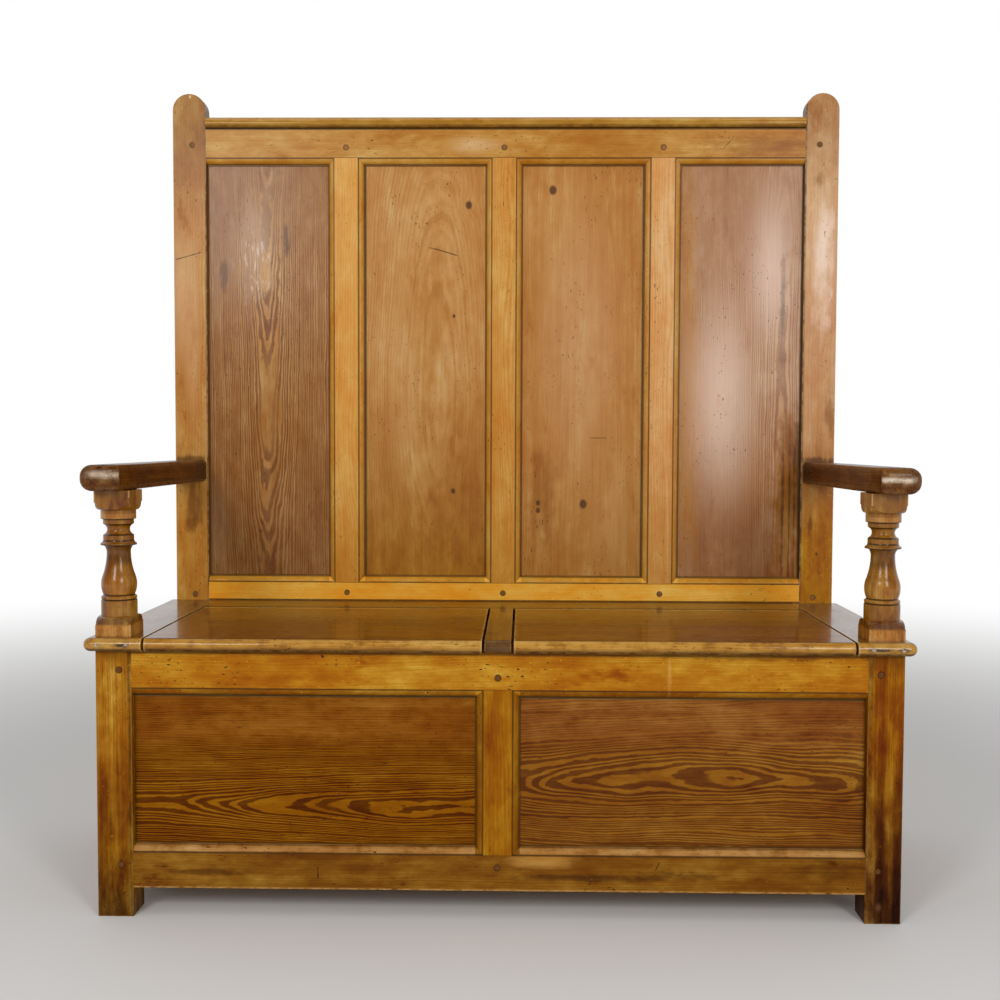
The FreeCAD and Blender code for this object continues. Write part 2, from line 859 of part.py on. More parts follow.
seat_rail = node(
    rail(
        "front_top_rail",
        front_length,
        seat_rail_height,
        *SEAT_RAIL[:2],
        s.tenon_length,
        s.seat_rail_shoulder,
    )
)
house_muntins(seat_rail, [front_centre], s.muntin_face, 0, 1)
bore(seat_rail, [(front_centre, muntin_peg_height)])
bore(seat_rail, [(x, seat_peg_z - seat_rail_edge_z) for x in leg_peg_xs])
bearer_top = seat_rail_height - s.bearer_tenon_top
mortise(
    seat_rail,
    (front_centre - tail_half, bearer_top - s.bearer_tenon_height - s.joint_fit),
    (front_centre + tail_half, bearer_top + s.joint_fit),
    "-y",
    s.rail_thickness,
    s.stub_tenon_length + s.tenon_end_gap,
)
place(seat_rail, -leg_inner_x, leg_front_y, seat_rail_edge_z)

bottom_rail = node(
    rail(
        "front_bottom_rail",
        front_length,
        bottom_rail_height,
        *BOTTOM_RAIL[:2],
        s.tenon_length,
    )
)
house_muntins(bottom_rail, [front_centre], s.muntin_face, bottom_rail_height, -1)
bore(bottom_rail, [(front_centre, bottom_rail_height - muntin_peg_height)])
bore(bottom_rail, [(x, foot_peg_z - s.floor_gap) for x in leg_peg_xs])
place(bottom_rail, -leg_inner_x, leg_front_y, s.floor_gap)

front_muntin = node(
    muntin("front_muntin", s.muntin_face, seat_rail_edge_z - bottom_rail_edge_z)
)
place(front_muntin, -muntin_half, leg_front_y, bottom_rail_edge_z)
panel(
    "front_panel_left",
    -leg_inner_x,
    -muntin_half,
    bottom_rail_edge_z,
    seat_rail_edge_z,
    leg_front_y,
)
panel(
    "front_panel_right",
    muntin_half,
    leg_inner_x,
    bottom_rail_edge_z,
    seat_rail_edge_z,
    leg_front_y,
)


# The sides of the box

side_length = post_front_y - leg_back_y
OUTWARD = Rotation(Vector(0, 0, 1), -90)


def side_rail(name, kinds, z, peg_z, top_shoulder=s.tenon_shoulder):
    body = rail(name, side_length, kinds[2], *kinds[:2], s.short_tenon_length, top_shoulder)
    pegs = [(x, peg_z - z) for x in (-s.side_peg_offset, side_length + s.side_peg_offset)]
    bore(body, pegs)
    place(body, -half_width, post_front_y, z, OUTWARD)
    return body


def side_top_rail(name):
    return side_rail(name, SEAT_RAIL, seat_rail_edge_z, seat_peg_z, s.seat_rail_shoulder)


def side_bottom_rail(name):
    return side_rail(name, BOTTOM_RAIL, s.floor_gap, foot_peg_z)


def side_panel(name):
    x = groove_front + s.panel_fit / 2 - half_width
    low = (x, leg_back_y - s.panel_tongue, bottom_rail_edge_z - s.panel_tongue)
    high = (
        x + s.panel_thickness,
        post_front_y + s.panel_tongue,
        seat_rail_edge_z + s.panel_tongue,
    )
    return box(name, low, high)


node_pair("side_top_rail", side_top_rail)
node_pair("side_bottom_rail", side_bottom_rail)
node_pair("side_panel", side_panel)


# The rear of the box

rear_rail = node(
    rail("rear_lower_rail", back_length, s.bottom_rail_face, *REAR_RAIL[:2], s.tenon_length)
)
bore(rear_rail, [(x, rear_peg_z - s.floor_gap) for x in tenon_peg_xs])
short_peg = (back_length / 2, s.bottom_rail_face - s.short_peg_rise)
bore(rear_rail, [short_peg], "-y", s.rail_thickness, rear_pierce)
mortise(
    rear_rail,
    (back_length / 2 - half, groove_front),
    (back_length / 2 + half, groove_back),
    "-z",
    s.bottom_rail_face,
    s.short_tenon_length + s.tenon_end_gap,
)
place(rear_rail, -post_inner_x, post_front_y, s.floor_gap)

rear_height = back_rail_low_z - rear_rail_top_z
rear_width = s.rear_muntin_face
rear_muntin = node(new_body("rear_muntin"))
section = sketch_on(rear_muntin, "XY_Plane")
corners = [
    (0, 0),
    (rear_width, 0),
    (rear_width, groove_front),
    (rear_width - s.groove_depth, groove_front),
    (rear_width - s.groove_depth, groove_back),
    (rear_width, groove_back),
    (rear_width, s.rail_thickness),
    (0, s.rail_thickness),
    (0, groove_back),
    (s.groove_depth, groove_back),
    (s.groove_depth, groove_front),
    (0, groove_front),
]
outline(section, corners)
pad(rear_muntin, section, rear_height, "+z")
for at, towards in ((0, "-z"), (rear_height, "+z")):
    end = sketch_on(rear_muntin, "XY_Plane", at)
    low = (rear_width / 2 - s.muntin_tenon_width / 2, groove_front)
    high = (rear_width / 2 + s.muntin_tenon_width / 2, groove_back)
    rectangle(end, low, high)
    pad(rear_muntin, end, s.short_tenon_length, towards)
rear_pegs = [-s.short_peg_rise, rear_height + s.short_peg_rise]
bore(rear_muntin, [(rear_width / 2, z) for z in rear_pegs])
place(rear_muntin, -rear_width / 2, post_front_y, rear_rail_top_z)
for side, low, high in (
    ("left", -post_inner_x, -rear_width / 2),
    ("right", rear_width / 2, post_inner_x),
):
    panel(f"rear_panel_{side}", low, high, rear_rail_top_z, back_rail_low_z, post_front_y)


# The bottom of the box

ledger_top = rear_rail_top_z - s.ledger_drop
for side, reach, y in (
    ("front", leg_inner_x, rail_back_y),
    ("back", side_inner_x, post_front_y - s.ledger_side),
):
    low = (-reach, y, ledger_top - s.ledger_side)
    high = (reach, y + s.ledger_side, ledger_top)
    node(box(f"bottom_ledger_{side}", low, high))

board_pitch = (2 * side_inner_x - s.bottom_gap) / BOTTOM_BOARDS
for number in range(1, BOTTOM_BOARDS):
    name = f"bottom_board_{number}"
    x = board_pitch * (number - 1) + s.bottom_gap - side_inner_x
    low = (x, rail_back_y + s.bottom_gap, ledger_top)
    high = (
        x + board_pitch - s.bottom_gap,
        post_front_y - s.bottom_gap,
        ledger_top + s.bottom_thickness,
    )
    if number > 1:
        node(box(name, low, high))
    else:
        clear_x = s.bottom_gap - leg_inner_x
        clear_y = leg_back_y + s.bottom_gap
        leg_notch = box("leg_notch", (-half_width, leg_front_y, 0), (clear_x, clear_y, s.seat_height))
        end_board = node(cut(name, box("end_board_blank", low, high), leg_notch))
node(mirrored(f"bottom_board_{BOTTOM_BOARDS}", end_board))


# The seat

def nosed_board(name, length, depth, thickness):
    """A board with a half-round nose at y = 0, its underside at z = 0."""
    body = new_body(name)
    section = sketch_on(body, "YZ_Plane")
    corners = [(depth, 0), (thickness / 2, 0), (thickness / 2, thickness), (depth, thickness)]
    outline(section, corners, {1: (thickness / 2, thickness / 2, "right")})
    pad(body, section, length, "+x")
    return body


tongue_z = (s.seat_thickness - s.tongue_thickness) / 2
tongue_start_y = strip_front_y + s.tongue_inset


def seat_end(name):
    """An end board with its outer edge at x = 0 and its nose at y = 0."""
    body = new_body(name)
    depth = post_front_y - nose_y
    width = s.seat_end_width
    round_at = s.seat_corner_radius
    plan = sketch_on(body, "XY_Plane")
    corners = [(round_at, 0), (width, 0), (width, depth), (0, depth), (0, round_at)]
    outline(plan, corners, {4: (round_at, round_at, "left")})
    pad(body, plan, s.seat_thickness, "+z")
    rounded = s.seat_thickness / 2 - s.joint_fit
    wide, deep = number_of(width), number_of(depth)
    soften(
        body,
        rounded,
        lambda b: b.ZLength < 0.01
        and not near(b.XMin, wide)
        and not near(b.YMin, deep),
    )
    start = tongue_start_y - nose_y - s.joint_fit
    mortise(
        body,
        (start, tongue_z - s.joint_fit),
        (depth, tongue_z + s.tongue_thickness + s.joint_fit),
        "-x",
        width,
        s.tongue_length + s.tenon_end_gap,
    )
    hole = sketch_on(body, "XY_Plane")
    centre = (seat_outer_x - leg_centre_x, support_centre_y - nose_y)
    circles(hole, [centre], s.dowel_diameter / 2 + s.peg_fit)
    pocket(body, hole, "+z")
    for sinking, radius in (
        (s.nail_length, s.nail_radius),
        (s.nail_head_thickness, s.nail_head_radius),
    ):
        nails = sketch_on(body, "XZ_Plane")
        height = s.seat_thickness / 2
        places = [(s.nail_inset, height), (width - s.nail_inset, height)]
        circles(nails, places, radius + s.nail_fit)
        pocket(body, nails, "+y", sinking + s.nail_fit)
    place(body, -seat_outer_x, nose_y, seat_under_z)
    return body


node_pair("seat_end", seat_end)

hinge_starts = [
    -lid_outer_x + s.hinge_inset,
    -lid_inner_x - s.hinge_inset - s.hinge_length,
    lid_inner_x + s.hinge_inset,
    lid_outer_x - s.hinge_inset - s.hinge_length,
]
screw_pitch = s.hinge_length / SCREWS_PER_LEAF
screw_z = hinge_z - s.screw_drop


def screw_xs(starts):
    return [x + screw_pitch * (i + 0.5) for x in starts for i in range(SCREWS_PER_LEAF)]


def relieve_for_hinges(body, starts, base_x, base_y, face_y, towards):
    """Hollows an edge for the knuckles and drills it for the screws."""
    axis = (hinge_y - base_y, hinge_z - seat_under_z)
    for x in starts:
        hollow = sketch_on(body, "YZ_Plane", x - s.hinge_relief - base_x)
        circles(hollow, [axis], s.knuckle_radius + s.hinge_relief)
        pocket(body, hollow, "+x", s.hinge_length + 2 * s.hinge_relief)
    holes = sketch_on(body, "XZ_Plane", face_y - base_y)
    centres = [(x - base_x, screw_z - seat_under_z) for x in screw_xs(starts)]
    circles(holes, centres, s.screw_radius + s.screw_fit)
    pocket(body, holes, towards, s.screw_length)


strip = node(new_body("seat_back_strip"))
plan = sketch_on(strip, "XY_Plane")
rectangle(plan, (-seat_end_inner_x, 0), (seat_end_inner_x, s.seat_strip_width))
pad(strip, plan, s.seat_thickness, "+z")
soften(
    strip,
    s.strip_arris_radius,
    lambda b: b.XLength > 1 and near(b.YMax, 0) and near(b.ZMax, s.seat_thickness),
)
tongue_top = tongue_z + s.tongue_thickness
rear_tongue = sketch_on(strip, "XZ_Plane", s.seat_strip_width)
rectangle(rear_tongue, (-seat_end_inner_x, tongue_z), (seat_end_inner_x, tongue_top))
pad(strip, rear_tongue, s.tongue_length, "+y")
for x, towards in ((-seat_end_inner_x, "-x"), (seat_end_inner_x, "+x")):
    end_tongue = sketch_on(strip, "YZ_Plane", x)
    rectangle(end_tongue, (s.tongue_inset, tongue_z), (s.seat_strip_width, tongue_top))
    pad(strip, end_tongue, s.tongue_length, towards)
divider_mortise = s.divider_tenon_width / 2 + s.joint_fit
mortise(
    strip,
    (-divider_mortise, tongue_z - s.joint_fit),
    (divider_mortise, tongue_top + s.joint_fit),
    "+y",
    0,
    s.divider_tenon_length + s.tenon_end_gap,
)
relieve_for_hinges(strip, hinge_starts, 0, strip_front_y, strip_front_y, "+y")
place(strip, 0, strip_front_y, seat_under_z)

divider_nose_y = nose_y + s.divider_setback
divider_depth = strip_front_y - divider_nose_y
divider = node(nosed_board("seat_divider", s.divider_width, divider_depth, s.seat_thickness))
tail = sketch_on(divider, "XZ_Plane", divider_depth)
tail_middle = s.divider_width / 2
rectangle(
    tail,
    (tail_middle - s.divider_tenon_width / 2, tongue_z),
    (tail_middle + s.divider_tenon_width / 2, tongue_top),
)
pad(divider, tail, s.divider_tenon_length, "+y")
place(divider, -s.divider_width / 2, divider_nose_y, seat_under_z)

bearer_depth = post_front_y - rail_back_y
bearer = node(new_body("divider_bearer"))
face = sketch_on(bearer, "XZ_Plane")
rectangle(face, (-s.bearer_width / 2, -s.bearer_height), (s.bearer_width / 2, 0))
pad(bearer, face, bearer_depth, "+y")
for y, towards, top, height in (
    (0, "-y", s.bearer_tenon_top, s.bearer_tenon_height),
    (bearer_depth, "+y", s.bearer_tail_top, s.bearer_tail_height),
):
    end = sketch_on(bearer, "XZ_Plane", y)
    rectangle(end, (-s.bearer_tenon_width / 2, -top - height), (s.bearer_tenon_width / 2, -top))
    pad(bearer, end, s.stub_tenon_length, towards)
place(bearer, 0, rail_back_y, seat_under_z)


# The lids, each hinged at its rear edge

lid_width = lid_outer_x - lid_inner_x
lid_depth = lid_back_y - nose_y
for side, base_x, starts in (
    ("left", -lid_outer_x, hinge_starts[:2]),
    ("right", lid_inner_x, hinge_starts[2:]),
):
    lid = node(nosed_board(f"lid_{side}", lid_width, lid_depth, s.seat_thickness))
    wide = number_of(lid_width)
    soften(
        lid,
        s.lid_arris_radius,
        lambda b: near(b.ZMin, s.seat_thickness)
        and (near(b.YMin, lid_depth) or near(b.XLength, 0)),
    )
    relieve_for_hinges(lid, starts, base_x, nose_y, lid_back_y, "-y")
    place(lid, base_x, nose_y, seat_under_z)
    for end, x in (
        ("left", base_x + s.batten_inset),
        ("right", base_x + lid_width - s.batten_inset - s.batten_width),
    ):
        low = (x, rail_back_y + s.batten_clearance, seat_under_z - s.batten_thickness)
        high = (x + s.batten_width, lid_back_y - s.batten_clearance, seat_under_z)
        node(box(f"lid_{side}_batten_{end}", low, high))


# The hinges: knuckles in turn on the frame's leaf and the lid's, round a pin

knuckle_pitch = s.hinge_length / KNUCKLES
plate_top = hinge_z - s.knuckle_radius - s.knuckle_gap


def countersink(name, x, face_y, towards, head, shank, length):
    """A countersunk screw, or the hole for one, from the face of a leaf."""
    taper = cone(f"{name}_head", (x, face_y, screw_z), head, shank, s.leaf_thickness, towards)
    rod = cylinder(f"{name}_shank", (x, face_y, screw_z), shank, length, towards)
    return fuse(name, [taper, rod])


def hinge_leaf(name, start, own, leaf_y, face_y, towards, bore_radius):
    """A leaf with its own knuckles, its bore and its screw holes."""
    parts = [
        box(
            f"{name}_plate",
            (start, leaf_y, hinge_z - s.leaf_height),
            (start + s.hinge_length, leaf_y + s.leaf_thickness, plate_top),
        )
    ]
    for i in own:
        x = start + knuckle_pitch * i + s.knuckle_gap / 2
        length = knuckle_pitch - s.knuckle_gap
        low = (x, leaf_y, hinge_z - s.leaf_height / 2)
        high = (x + length, leaf_y + s.leaf_thickness, hinge_z)
        parts.append(box(f"{name}_tab_{i}", low, high))
        centre = (x, hinge_y, hinge_z)
        parts.append(cylinder(f"{name}_knuckle_{i}", centre, s.knuckle_radius, length, "+x"))
    holes = [cylinder(f"{name}_bore", (start, hinge_y, hinge_z), bore_radius, s.hinge_length, "+x")]
    for i, x in enumerate(screw_xs([start])):
        head = s.screw_head_radius + s.screw_fit
        shank = s.screw_radius + s.screw_fit
        hole = f"{name}_hole_{i}"
        holes.append(countersink(hole, x, face_y, towards, head, shank, s.screw_length))
    return cut(name, fuse(f"{name}_blank", parts), fuse(f"{name}_holes", holes))


def hinge_screws(name, start, face_y, towards):
    head, shank = s.screw_head_radius, s.screw_radius
    return [
        countersink(f"{name}_{i}", x, face_y, towards, head, shank, s.screw_length)
        for i, x in enumerate(screw_xs([start]))
    ]


frame_knuckles = range(0, KNUCKLES, 2)
lid_knuckles = range(1, KNUCKLES, 2)
frame_leaf_y = strip_front_y - s.leaf_thickness
frame_bore = s.pin_radius + s.pin_fit
lid_bore = s.pin_radius + s.pin_running_fit
lid_face_y = lid_back_y + s.leaf_thickness

frame_leaves, pins, frame_screws = [], [], []
for i, start in enumerate(hinge_starts, 1):
    leaf = f"frame_leaf_{i}"
    frame_leaves.append(
        hinge_leaf(leaf, start, frame_knuckles, frame_leaf_y, frame_leaf_y, "+y", frame_bore)
    )
    frame_screws += hinge_screws(f"frame_screw_{i}", start, frame_leaf_y, "+y")
    centre = (start, hinge_y, hinge_z)
    pins.append(cylinder(f"pin_{i}", centre, s.pin_radius, s.hinge_length, "+x"))
node(group("hinge_frame_leaves", frame_leaves))
node(group("hinge_pins", pins))
node(group("hinge_frame_screws", frame_screws))

for side, starts in (("left", hinge_starts[:2]), ("right", hinge_starts[2:])):
    leaves, screws = [], []
    for i, start in enumerate(starts, 1):
        leaf = f"lid_{side}_leaf_{i}"
        leaves.append(
            hinge_leaf(leaf, start, lid_knuckles, lid_back_y, lid_face_y, "-y", lid_bore)
        )
        screws += hinge_screws(f"lid_{side}_screw_{i}", start, lid_face_y, "-y")
    node(group(f"hinge_lid_leaves_{side}", leaves))
    node(group(f"hinge_lid_screws_{side}", screws))


# The arms and their turned supports

def arm(name):
    """An arm that splays outwards, with the leg's outer side at x = 0 and its own
    front at y = 0."""
    body = new_body(name)
    width = s.post_width
    depth = post_front_y - arm_front_y
    plan = sketch_on(body, "XY_Plane")
    corners = [
        (-s.arm_front_splay, 0),
        (width - s.arm_front_splay, 0),
        (width - s.arm_back_splay, depth),
        (-s.arm_back_splay, depth),
    ]
    outline(plan, corners)
    pad(body, plan, s.arm_thickness, "+z")
    deep = number_of(depth)
    soften(body, s.arm_corner_radius, lambda b: b.ZLength > 1 and near(b.YMin, 0))
    soften(
        body,
        s.arm_edge_radius,
        lambda b: b.ZLength < 0.01 and not near(b.YMin, deep),
    )
    tenon = sketch_on(body, "XZ_Plane", depth)
    low = (width / 2 - s.arm_tenon_width / 2, s.arm_thickness / 2 - s.arm_tenon_height / 2)
    high = (width / 2 + s.arm_tenon_width / 2, s.arm_thickness / 2 + s.arm_tenon_height / 2)
    rectangle(tenon, low, high)
    pad(body, tenon, s.arm_tenon_length, "+y")
    hole = sketch_on(body, "XY_Plane")
    centre = (s.leg_side / 2, support_centre_y - arm_front_y)
    circles(hole, [centre], s.dowel_diameter / 2 + s.peg_fit)
    pocket(body, hole, "+z", s.dowel_depth + s.tenon_end_gap)
    place(body, -half_width, arm_front_y, arm_z)
    return body


def swell(start, end, upright, turn):
    """The centre of an arc between two points of a turned profile, which stands
    upright at the one named."""
    (r0, z0), (r1, z1) = (start, end) if upright == "start" else (end, start)
    run = r1 - r0
    rise = z1 - z0
    reach = (run * run + rise * rise) / (2 * run)
    return r0 + reach, z0, turn


def centred_circle(sketch, radius):
    """Draws a circle round the origin of a sketch."""
    circle = Part.Circle(Vector(), Vector(0, 0, 1), number_of(radius))
    index = sketch.addGeometry(circle, False)
    sketch.addConstraint(Sketcher.Constraint("Coincident", index, 3, -1, 1))
    size = sketch.addConstraint(Sketcher.Constraint("Radius", index, number_of(radius)))
    sketch.setExpression(f"Constraints[{size}]", formula_of(radius))


def arm_support(name):
    """A support with a turned middle between two blocks, standing on the seat at
    z = 0."""
    body = new_body(name)
    half_side = s.support_side / 2
    half_depth = s.support_depth / 2
    blank = sketch_on(body, "XY_Plane")
    rectangle(blank, (-half_side, -half_depth), (half_side, half_depth))
    pad(body, blank, s.arm_rise, "+z")
    soften(body, s.arris_radius, lambda b: b.ZLength > 1)

    foot_z = s.block_height
    drum_z = foot_z + s.shoulder_radius
    ring_z = drum_z + s.drum_height + 2 * s.step_height
    waist_z = ring_z + s.ring_height + s.waist_height
    belly_z = waist_z + s.belly_height
    head_z = s.arm_rise - s.block_height
    collar_z = head_z - s.shoulder_radius - s.collar_height
    cove_z = collar_z - 2 * s.step_height - s.bead_height
    fillet_z = cove_z - s.cove_height - s.step_height
    flare_z = fillet_z - s.fillet_height - s.scotia_height
    neck_z = flare_z - s.flare_height - s.step_height - s.neck_height
    ring = s.drum_radius - s.ring_cut / 4
    points = [
        (s.drum_radius + s.shoulder_radius, foot_z),
        (s.drum_radius, drum_z),
        (s.drum_radius, drum_z + s.drum_height),
        (s.drum_radius - s.ring_cut, ring_z - s.step_height),
        (ring, ring_z),
        (ring, ring_z + s.ring_height),
        (s.waist_radius, waist_z),
        (s.belly_radius, belly_z),
        (s.waist_radius, belly_z + s.belly_height),
        (s.neck_radius, neck_z),
        (s.cove_rim_radius, neck_z + s.neck_height),
        (s.flare_radius, flare_z - s.flare_height),
        (s.flare_radius, flare_z),
        (s.fillet_radius, fillet_z - s.fillet_height),
        (s.fillet_radius, fillet_z),
        (s.cove_rim_radius, cove_z - s.cove_height),
        (s.cove_radius, cove_z - s.cove_height / 2),
        (s.cove_rim_radius, cove_z),
        (s.fillet_radius, cove_z + s.step_height),
        (s.fillet_radius, collar_z - s.step_height),
        (s.collar_radius, collar_z),
        (s.collar_radius, head_z - s.shoulder_radius),
        (s.collar_radius + s.shoulder_radius, head_z),
    ]
    arcs = {
        0: (s.drum_radius, foot_z, "left"),
        21: (s.collar_radius, head_z, "left"),
    }
    for side, upright, turn in (
        (6, "end", "left"),
        (7, "start", "left"),
        (8, "end", "right"),
        (9, "start", "right"),
        (12, "end", "right"),
        (15, "end", "right"),
        (16, "start", "right"),
    ):
        arcs[side] = swell(points[side], points[side + 1], upright, turn)
    waste = sketch_on(body, "XZ_Plane")
    outline(waste, points + [(s.support_side, head_z), (s.support_side, foot_z)], arcs)
    turning = body.newObject("PartDesign::Groove", "Groove")
    turning.Profile = waste
    upright_axis = next(f for f in body.Origin.OriginFeatures if f.Role == "Z_Axis")
    turning.ReferenceAxis = (upright_axis, [""])
    turning.Angle = 360

    for at, towards, length in (
        (0, "-z", s.seat_thickness + s.dowel_depth),
        (s.arm_rise, "+z", s.dowel_depth),
    ):
        dowel = sketch_on(body, "XY_Plane", at)
        centred_circle(dowel, s.dowel_diameter / 2)
        pad(body, dowel, length, towards)
    place(body, -leg_centre_x, support_centre_y, s.seat_height)
    return body


node_pair("arm", arm)
node_pair("arm_support", arm_support)


# Pegs and nails

peg_count = 0


def peg(x, y, z, length, towards):
    """A peg that stands a little proud of the face it is driven through."""
    global peg_count
    peg_count += 1
    base = {
        "+x": (x - s.peg_proud, y, z),
        "+y": (x, y - s.peg_proud, z),
        "-y": (x, y + s.peg_proud, z),
    }
    radius = s.peg_diameter / 2
    return cylinder(f"peg_{peg_count}", base[towards], radius, length + s.peg_proud, towards)


pegs = []
for x in (-1, 1):
    post_x = x * (post_inner_x + s.post_peg_offset)
    for z in (top_peg_z, back_peg_z):
        pegs.append(peg(post_x, post_front_y, z, s.post_thickness, "+y"))
    rear_depth = s.post_thickness - groove_front + s.peg_beyond
    pegs.append(peg(post_x, post_back_y, rear_peg_z, rear_depth, "-y"))
    leg_x = x * (leg_inner_x + s.leg_peg_offset)
    for z in (seat_peg_z, foot_peg_z):
        pegs.append(peg(leg_x, leg_front_y, z, pierce, "+y"))
for x in muntin_xs:
    for z in (top_rail_edge_z + muntin_peg_height, back_rail_edge_z - muntin_peg_height):
        pegs.append(peg(x, post_front_y, z, s.rail_thickness, "+y"))
for z in (seat_rail_edge_z + muntin_peg_height, bottom_rail_edge_z - muntin_peg_height):
    pegs.append(peg(0, leg_front_y, z, s.rail_thickness, "+y"))
for z in (rear_rail_top_z - s.short_peg_rise, back_rail_low_z + s.short_peg_rise):
    pegs.append(peg(0, post_front_y + s.rail_thickness, z, rear_pierce, "-y"))

side_pegs = []
for y in (leg_back_y - s.side_peg_offset, post_front_y + s.side_peg_offset):
    for z in (seat_peg_z, foot_peg_z):
        side_pegs.append(peg(-half_width, y, z, pierce, "+x"))
side_pegs += [mirrored(f"{item.Name}_right", item) for item in side_pegs]
node(group("frame_pegs", pegs + side_pegs))

nails = []
for i, x in enumerate((s.nail_inset - seat_outer_x, -seat_end_inner_x - s.nail_inset), 1):
    centre = (x, nose_y, seat_under_z + s.seat_thickness / 2)
    head = cylinder(f"nail_head_{i}", centre, s.nail_head_radius, s.nail_head_thickness, "+y")
    shank = cylinder(f"nail_shank_{i}", centre, s.nail_radius, s.nail_length, "+y")
    nails.append(fuse(f"nail_{i}", [head, shank]))
nails += [mirrored(f"{item.Name}_right", item) for item in nails]
node(group("seat_nails", nails))


# Checks and export

doc.recompute()

for item in doc.Objects:
    faults = {"Invalid", "Error"} & set(item.State)
    if faults:
        raise RuntimeError(f"{item.Name}: {sorted(faults)}")
    if item.isDerivedFrom("Part::Feature"):
        if item.Shape.isNull() or not item.Shape.isValid():
            raise RuntimeError(f"{item.Name} has no sound shape")
    if item.TypeId == "Sketcher::SketchObject" and not item.FullyConstrained:
        raise RuntimeError(f"{item.Name} of {item.getParent().Name} is not fully held")

os.makedirs("parts", exist_ok=True)
for item in nodes:
    item.Shape.exportStep(f"parts/{item.Label}.step")
print(f"{len(nodes)} pieces written")
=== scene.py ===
import math
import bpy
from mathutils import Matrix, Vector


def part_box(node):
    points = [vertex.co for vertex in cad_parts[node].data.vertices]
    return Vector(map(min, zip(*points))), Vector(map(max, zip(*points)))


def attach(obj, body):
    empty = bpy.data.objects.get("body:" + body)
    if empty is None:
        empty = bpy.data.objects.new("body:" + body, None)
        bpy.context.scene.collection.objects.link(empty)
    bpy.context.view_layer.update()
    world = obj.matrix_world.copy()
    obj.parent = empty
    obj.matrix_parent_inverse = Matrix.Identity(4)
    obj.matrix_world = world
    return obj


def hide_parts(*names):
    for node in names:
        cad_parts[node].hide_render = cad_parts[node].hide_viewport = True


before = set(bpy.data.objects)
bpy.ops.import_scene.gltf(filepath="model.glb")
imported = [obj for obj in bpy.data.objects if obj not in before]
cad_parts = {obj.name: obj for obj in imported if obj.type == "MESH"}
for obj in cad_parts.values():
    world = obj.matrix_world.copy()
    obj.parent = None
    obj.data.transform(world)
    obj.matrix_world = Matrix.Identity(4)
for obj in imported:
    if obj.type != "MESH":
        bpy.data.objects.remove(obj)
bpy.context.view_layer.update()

from types import SimpleNamespace

import bmesh
import bpy
from mathutils import Matrix, Vector

# A panelled box settle in pegged pine. Metres, with the front towards -Y.

# Shader maths

# How strongly a deeper stain darkens a colour
STAIN_DEPTH = 0.7


class Shade:
    """One output of a material's nodes, which arithmetic can be done on."""

    def __init__(self, tree, socket=None):
        self.tree = tree
        self.socket = socket

    def add(self, kind, settings=None, inputs=None, output=0):
        """Adds a node with its settings and inputs, and returns one output."""
        node = self.tree.nodes.new("ShaderNode" + kind)
        for name, value in (settings or {}).items():
            setattr(node, name, value)
        for name, value in (inputs or {}).items():
            if isinstance(value, Shade):
                self.tree.links.new(value.socket, node.inputs[name])
            else:
                node.inputs[name].default_value = value
        return Shade(self.tree, node.outputs[output] if node.outputs else None)

    def maths(self, operation, *values):
        return self.add("Math", {"operation": operation}, dict(enumerate(values)))

    def __add__(self, other):
        return self.maths("ADD", self, other)

    def __radd__(self, other):
        return self.maths("ADD", other, self)

    def __sub__(self, other):
        return self.maths("SUBTRACT", self, other)

    def __rsub__(self, other):
        return self.maths("SUBTRACT", other, self)

    def __mul__(self, other):
        return self.maths("MULTIPLY", self, other)

    def __rmul__(self, other):
        return self.maths("MULTIPLY", other, self)

    def __truediv__(self, other):
        return self.maths("DIVIDE", self, other)

    def __abs__(self):
        return self.maths("ABSOLUTE", self)

    def least(self, other):
        return self.maths("MINIMUM", self, other)

    def most(self, other):
        return self.maths("MAXIMUM", self, other)

    def fraction(self):
        return self.maths("FRACT", self)

    def floor(self):
        return self.maths("FLOOR", self)

    def root(self):
        return self.maths("SQRT", self)

    def exponent(self):
        return self.maths("EXPONENT", self)

    def ramp(self, low, high, start=0.0, end=1.0):
        """Eases from start to end as the value goes from low to high."""
        settings = {"interpolation_type": "SMOOTHSTEP"}
        inputs = {"Value": self, "From Min": low, "From Max": high, "To Min": start, "To Max": end}
        return self.add("MapRange", settings, inputs)

    def noise(self, x, y, z, detail=2.0, roughness=0.5):
        """Smooth noise from 0 to 1, about 0.5, at three coordinates."""
        place = self.add("CombineXYZ", None, {"X": x, "Y": y, "Z": z})
        inputs = {"Vector": place, "Scale": 1.0, "Detail": detail, "Roughness": roughness}
        return self.add("TexNoise", None, inputs)

    def chance(self, value):
        """A random number from 0 to 1 for each whole number."""
        return self.add("TexWhiteNoise", {"noise_dimensions": "1D"}, {"W": value})

    def mix(self, first, second, factor):
        """A colour between two colours."""
        return self.add("Mix", {"data_type": "RGBA"}, {0: factor, 6: first, 7: second}, 2)

    def deepen(self, colour, variation):
        """A colour as under a thinner or thicker stain: the darker, the more saturated."""
        return self.add("Gamma", None, {"Color": colour, "Gamma": 1 - variation * STAIN_DEPTH})

    def dim(self, colour, factor):
        """A colour made brighter or darker."""
        if isinstance(colour, tuple):
            colour = colour[:3]
        return self.add("VectorMath", {"operation": "SCALE"}, {0: colour, "Scale": factor})

    def bumps(self, height):
        """The directions of a surface with these heights in millimetres."""
        return self.add("Bump", None, {"Strength": 1.0, "Distance": 0.001, "Height": height})

    def cover(self, inputs):
        """Makes the material one surface with these inputs."""
        surface = self.add("BsdfPrincipled", None, inputs)
        self.add("OutputMaterial", None, {"Surface": surface})


def new_material(name):
    material = bpy.data.materials.new(name)
    material.use_nodes = True
    material.node_tree.nodes.clear()
    return material, Shade(material.node_tree)


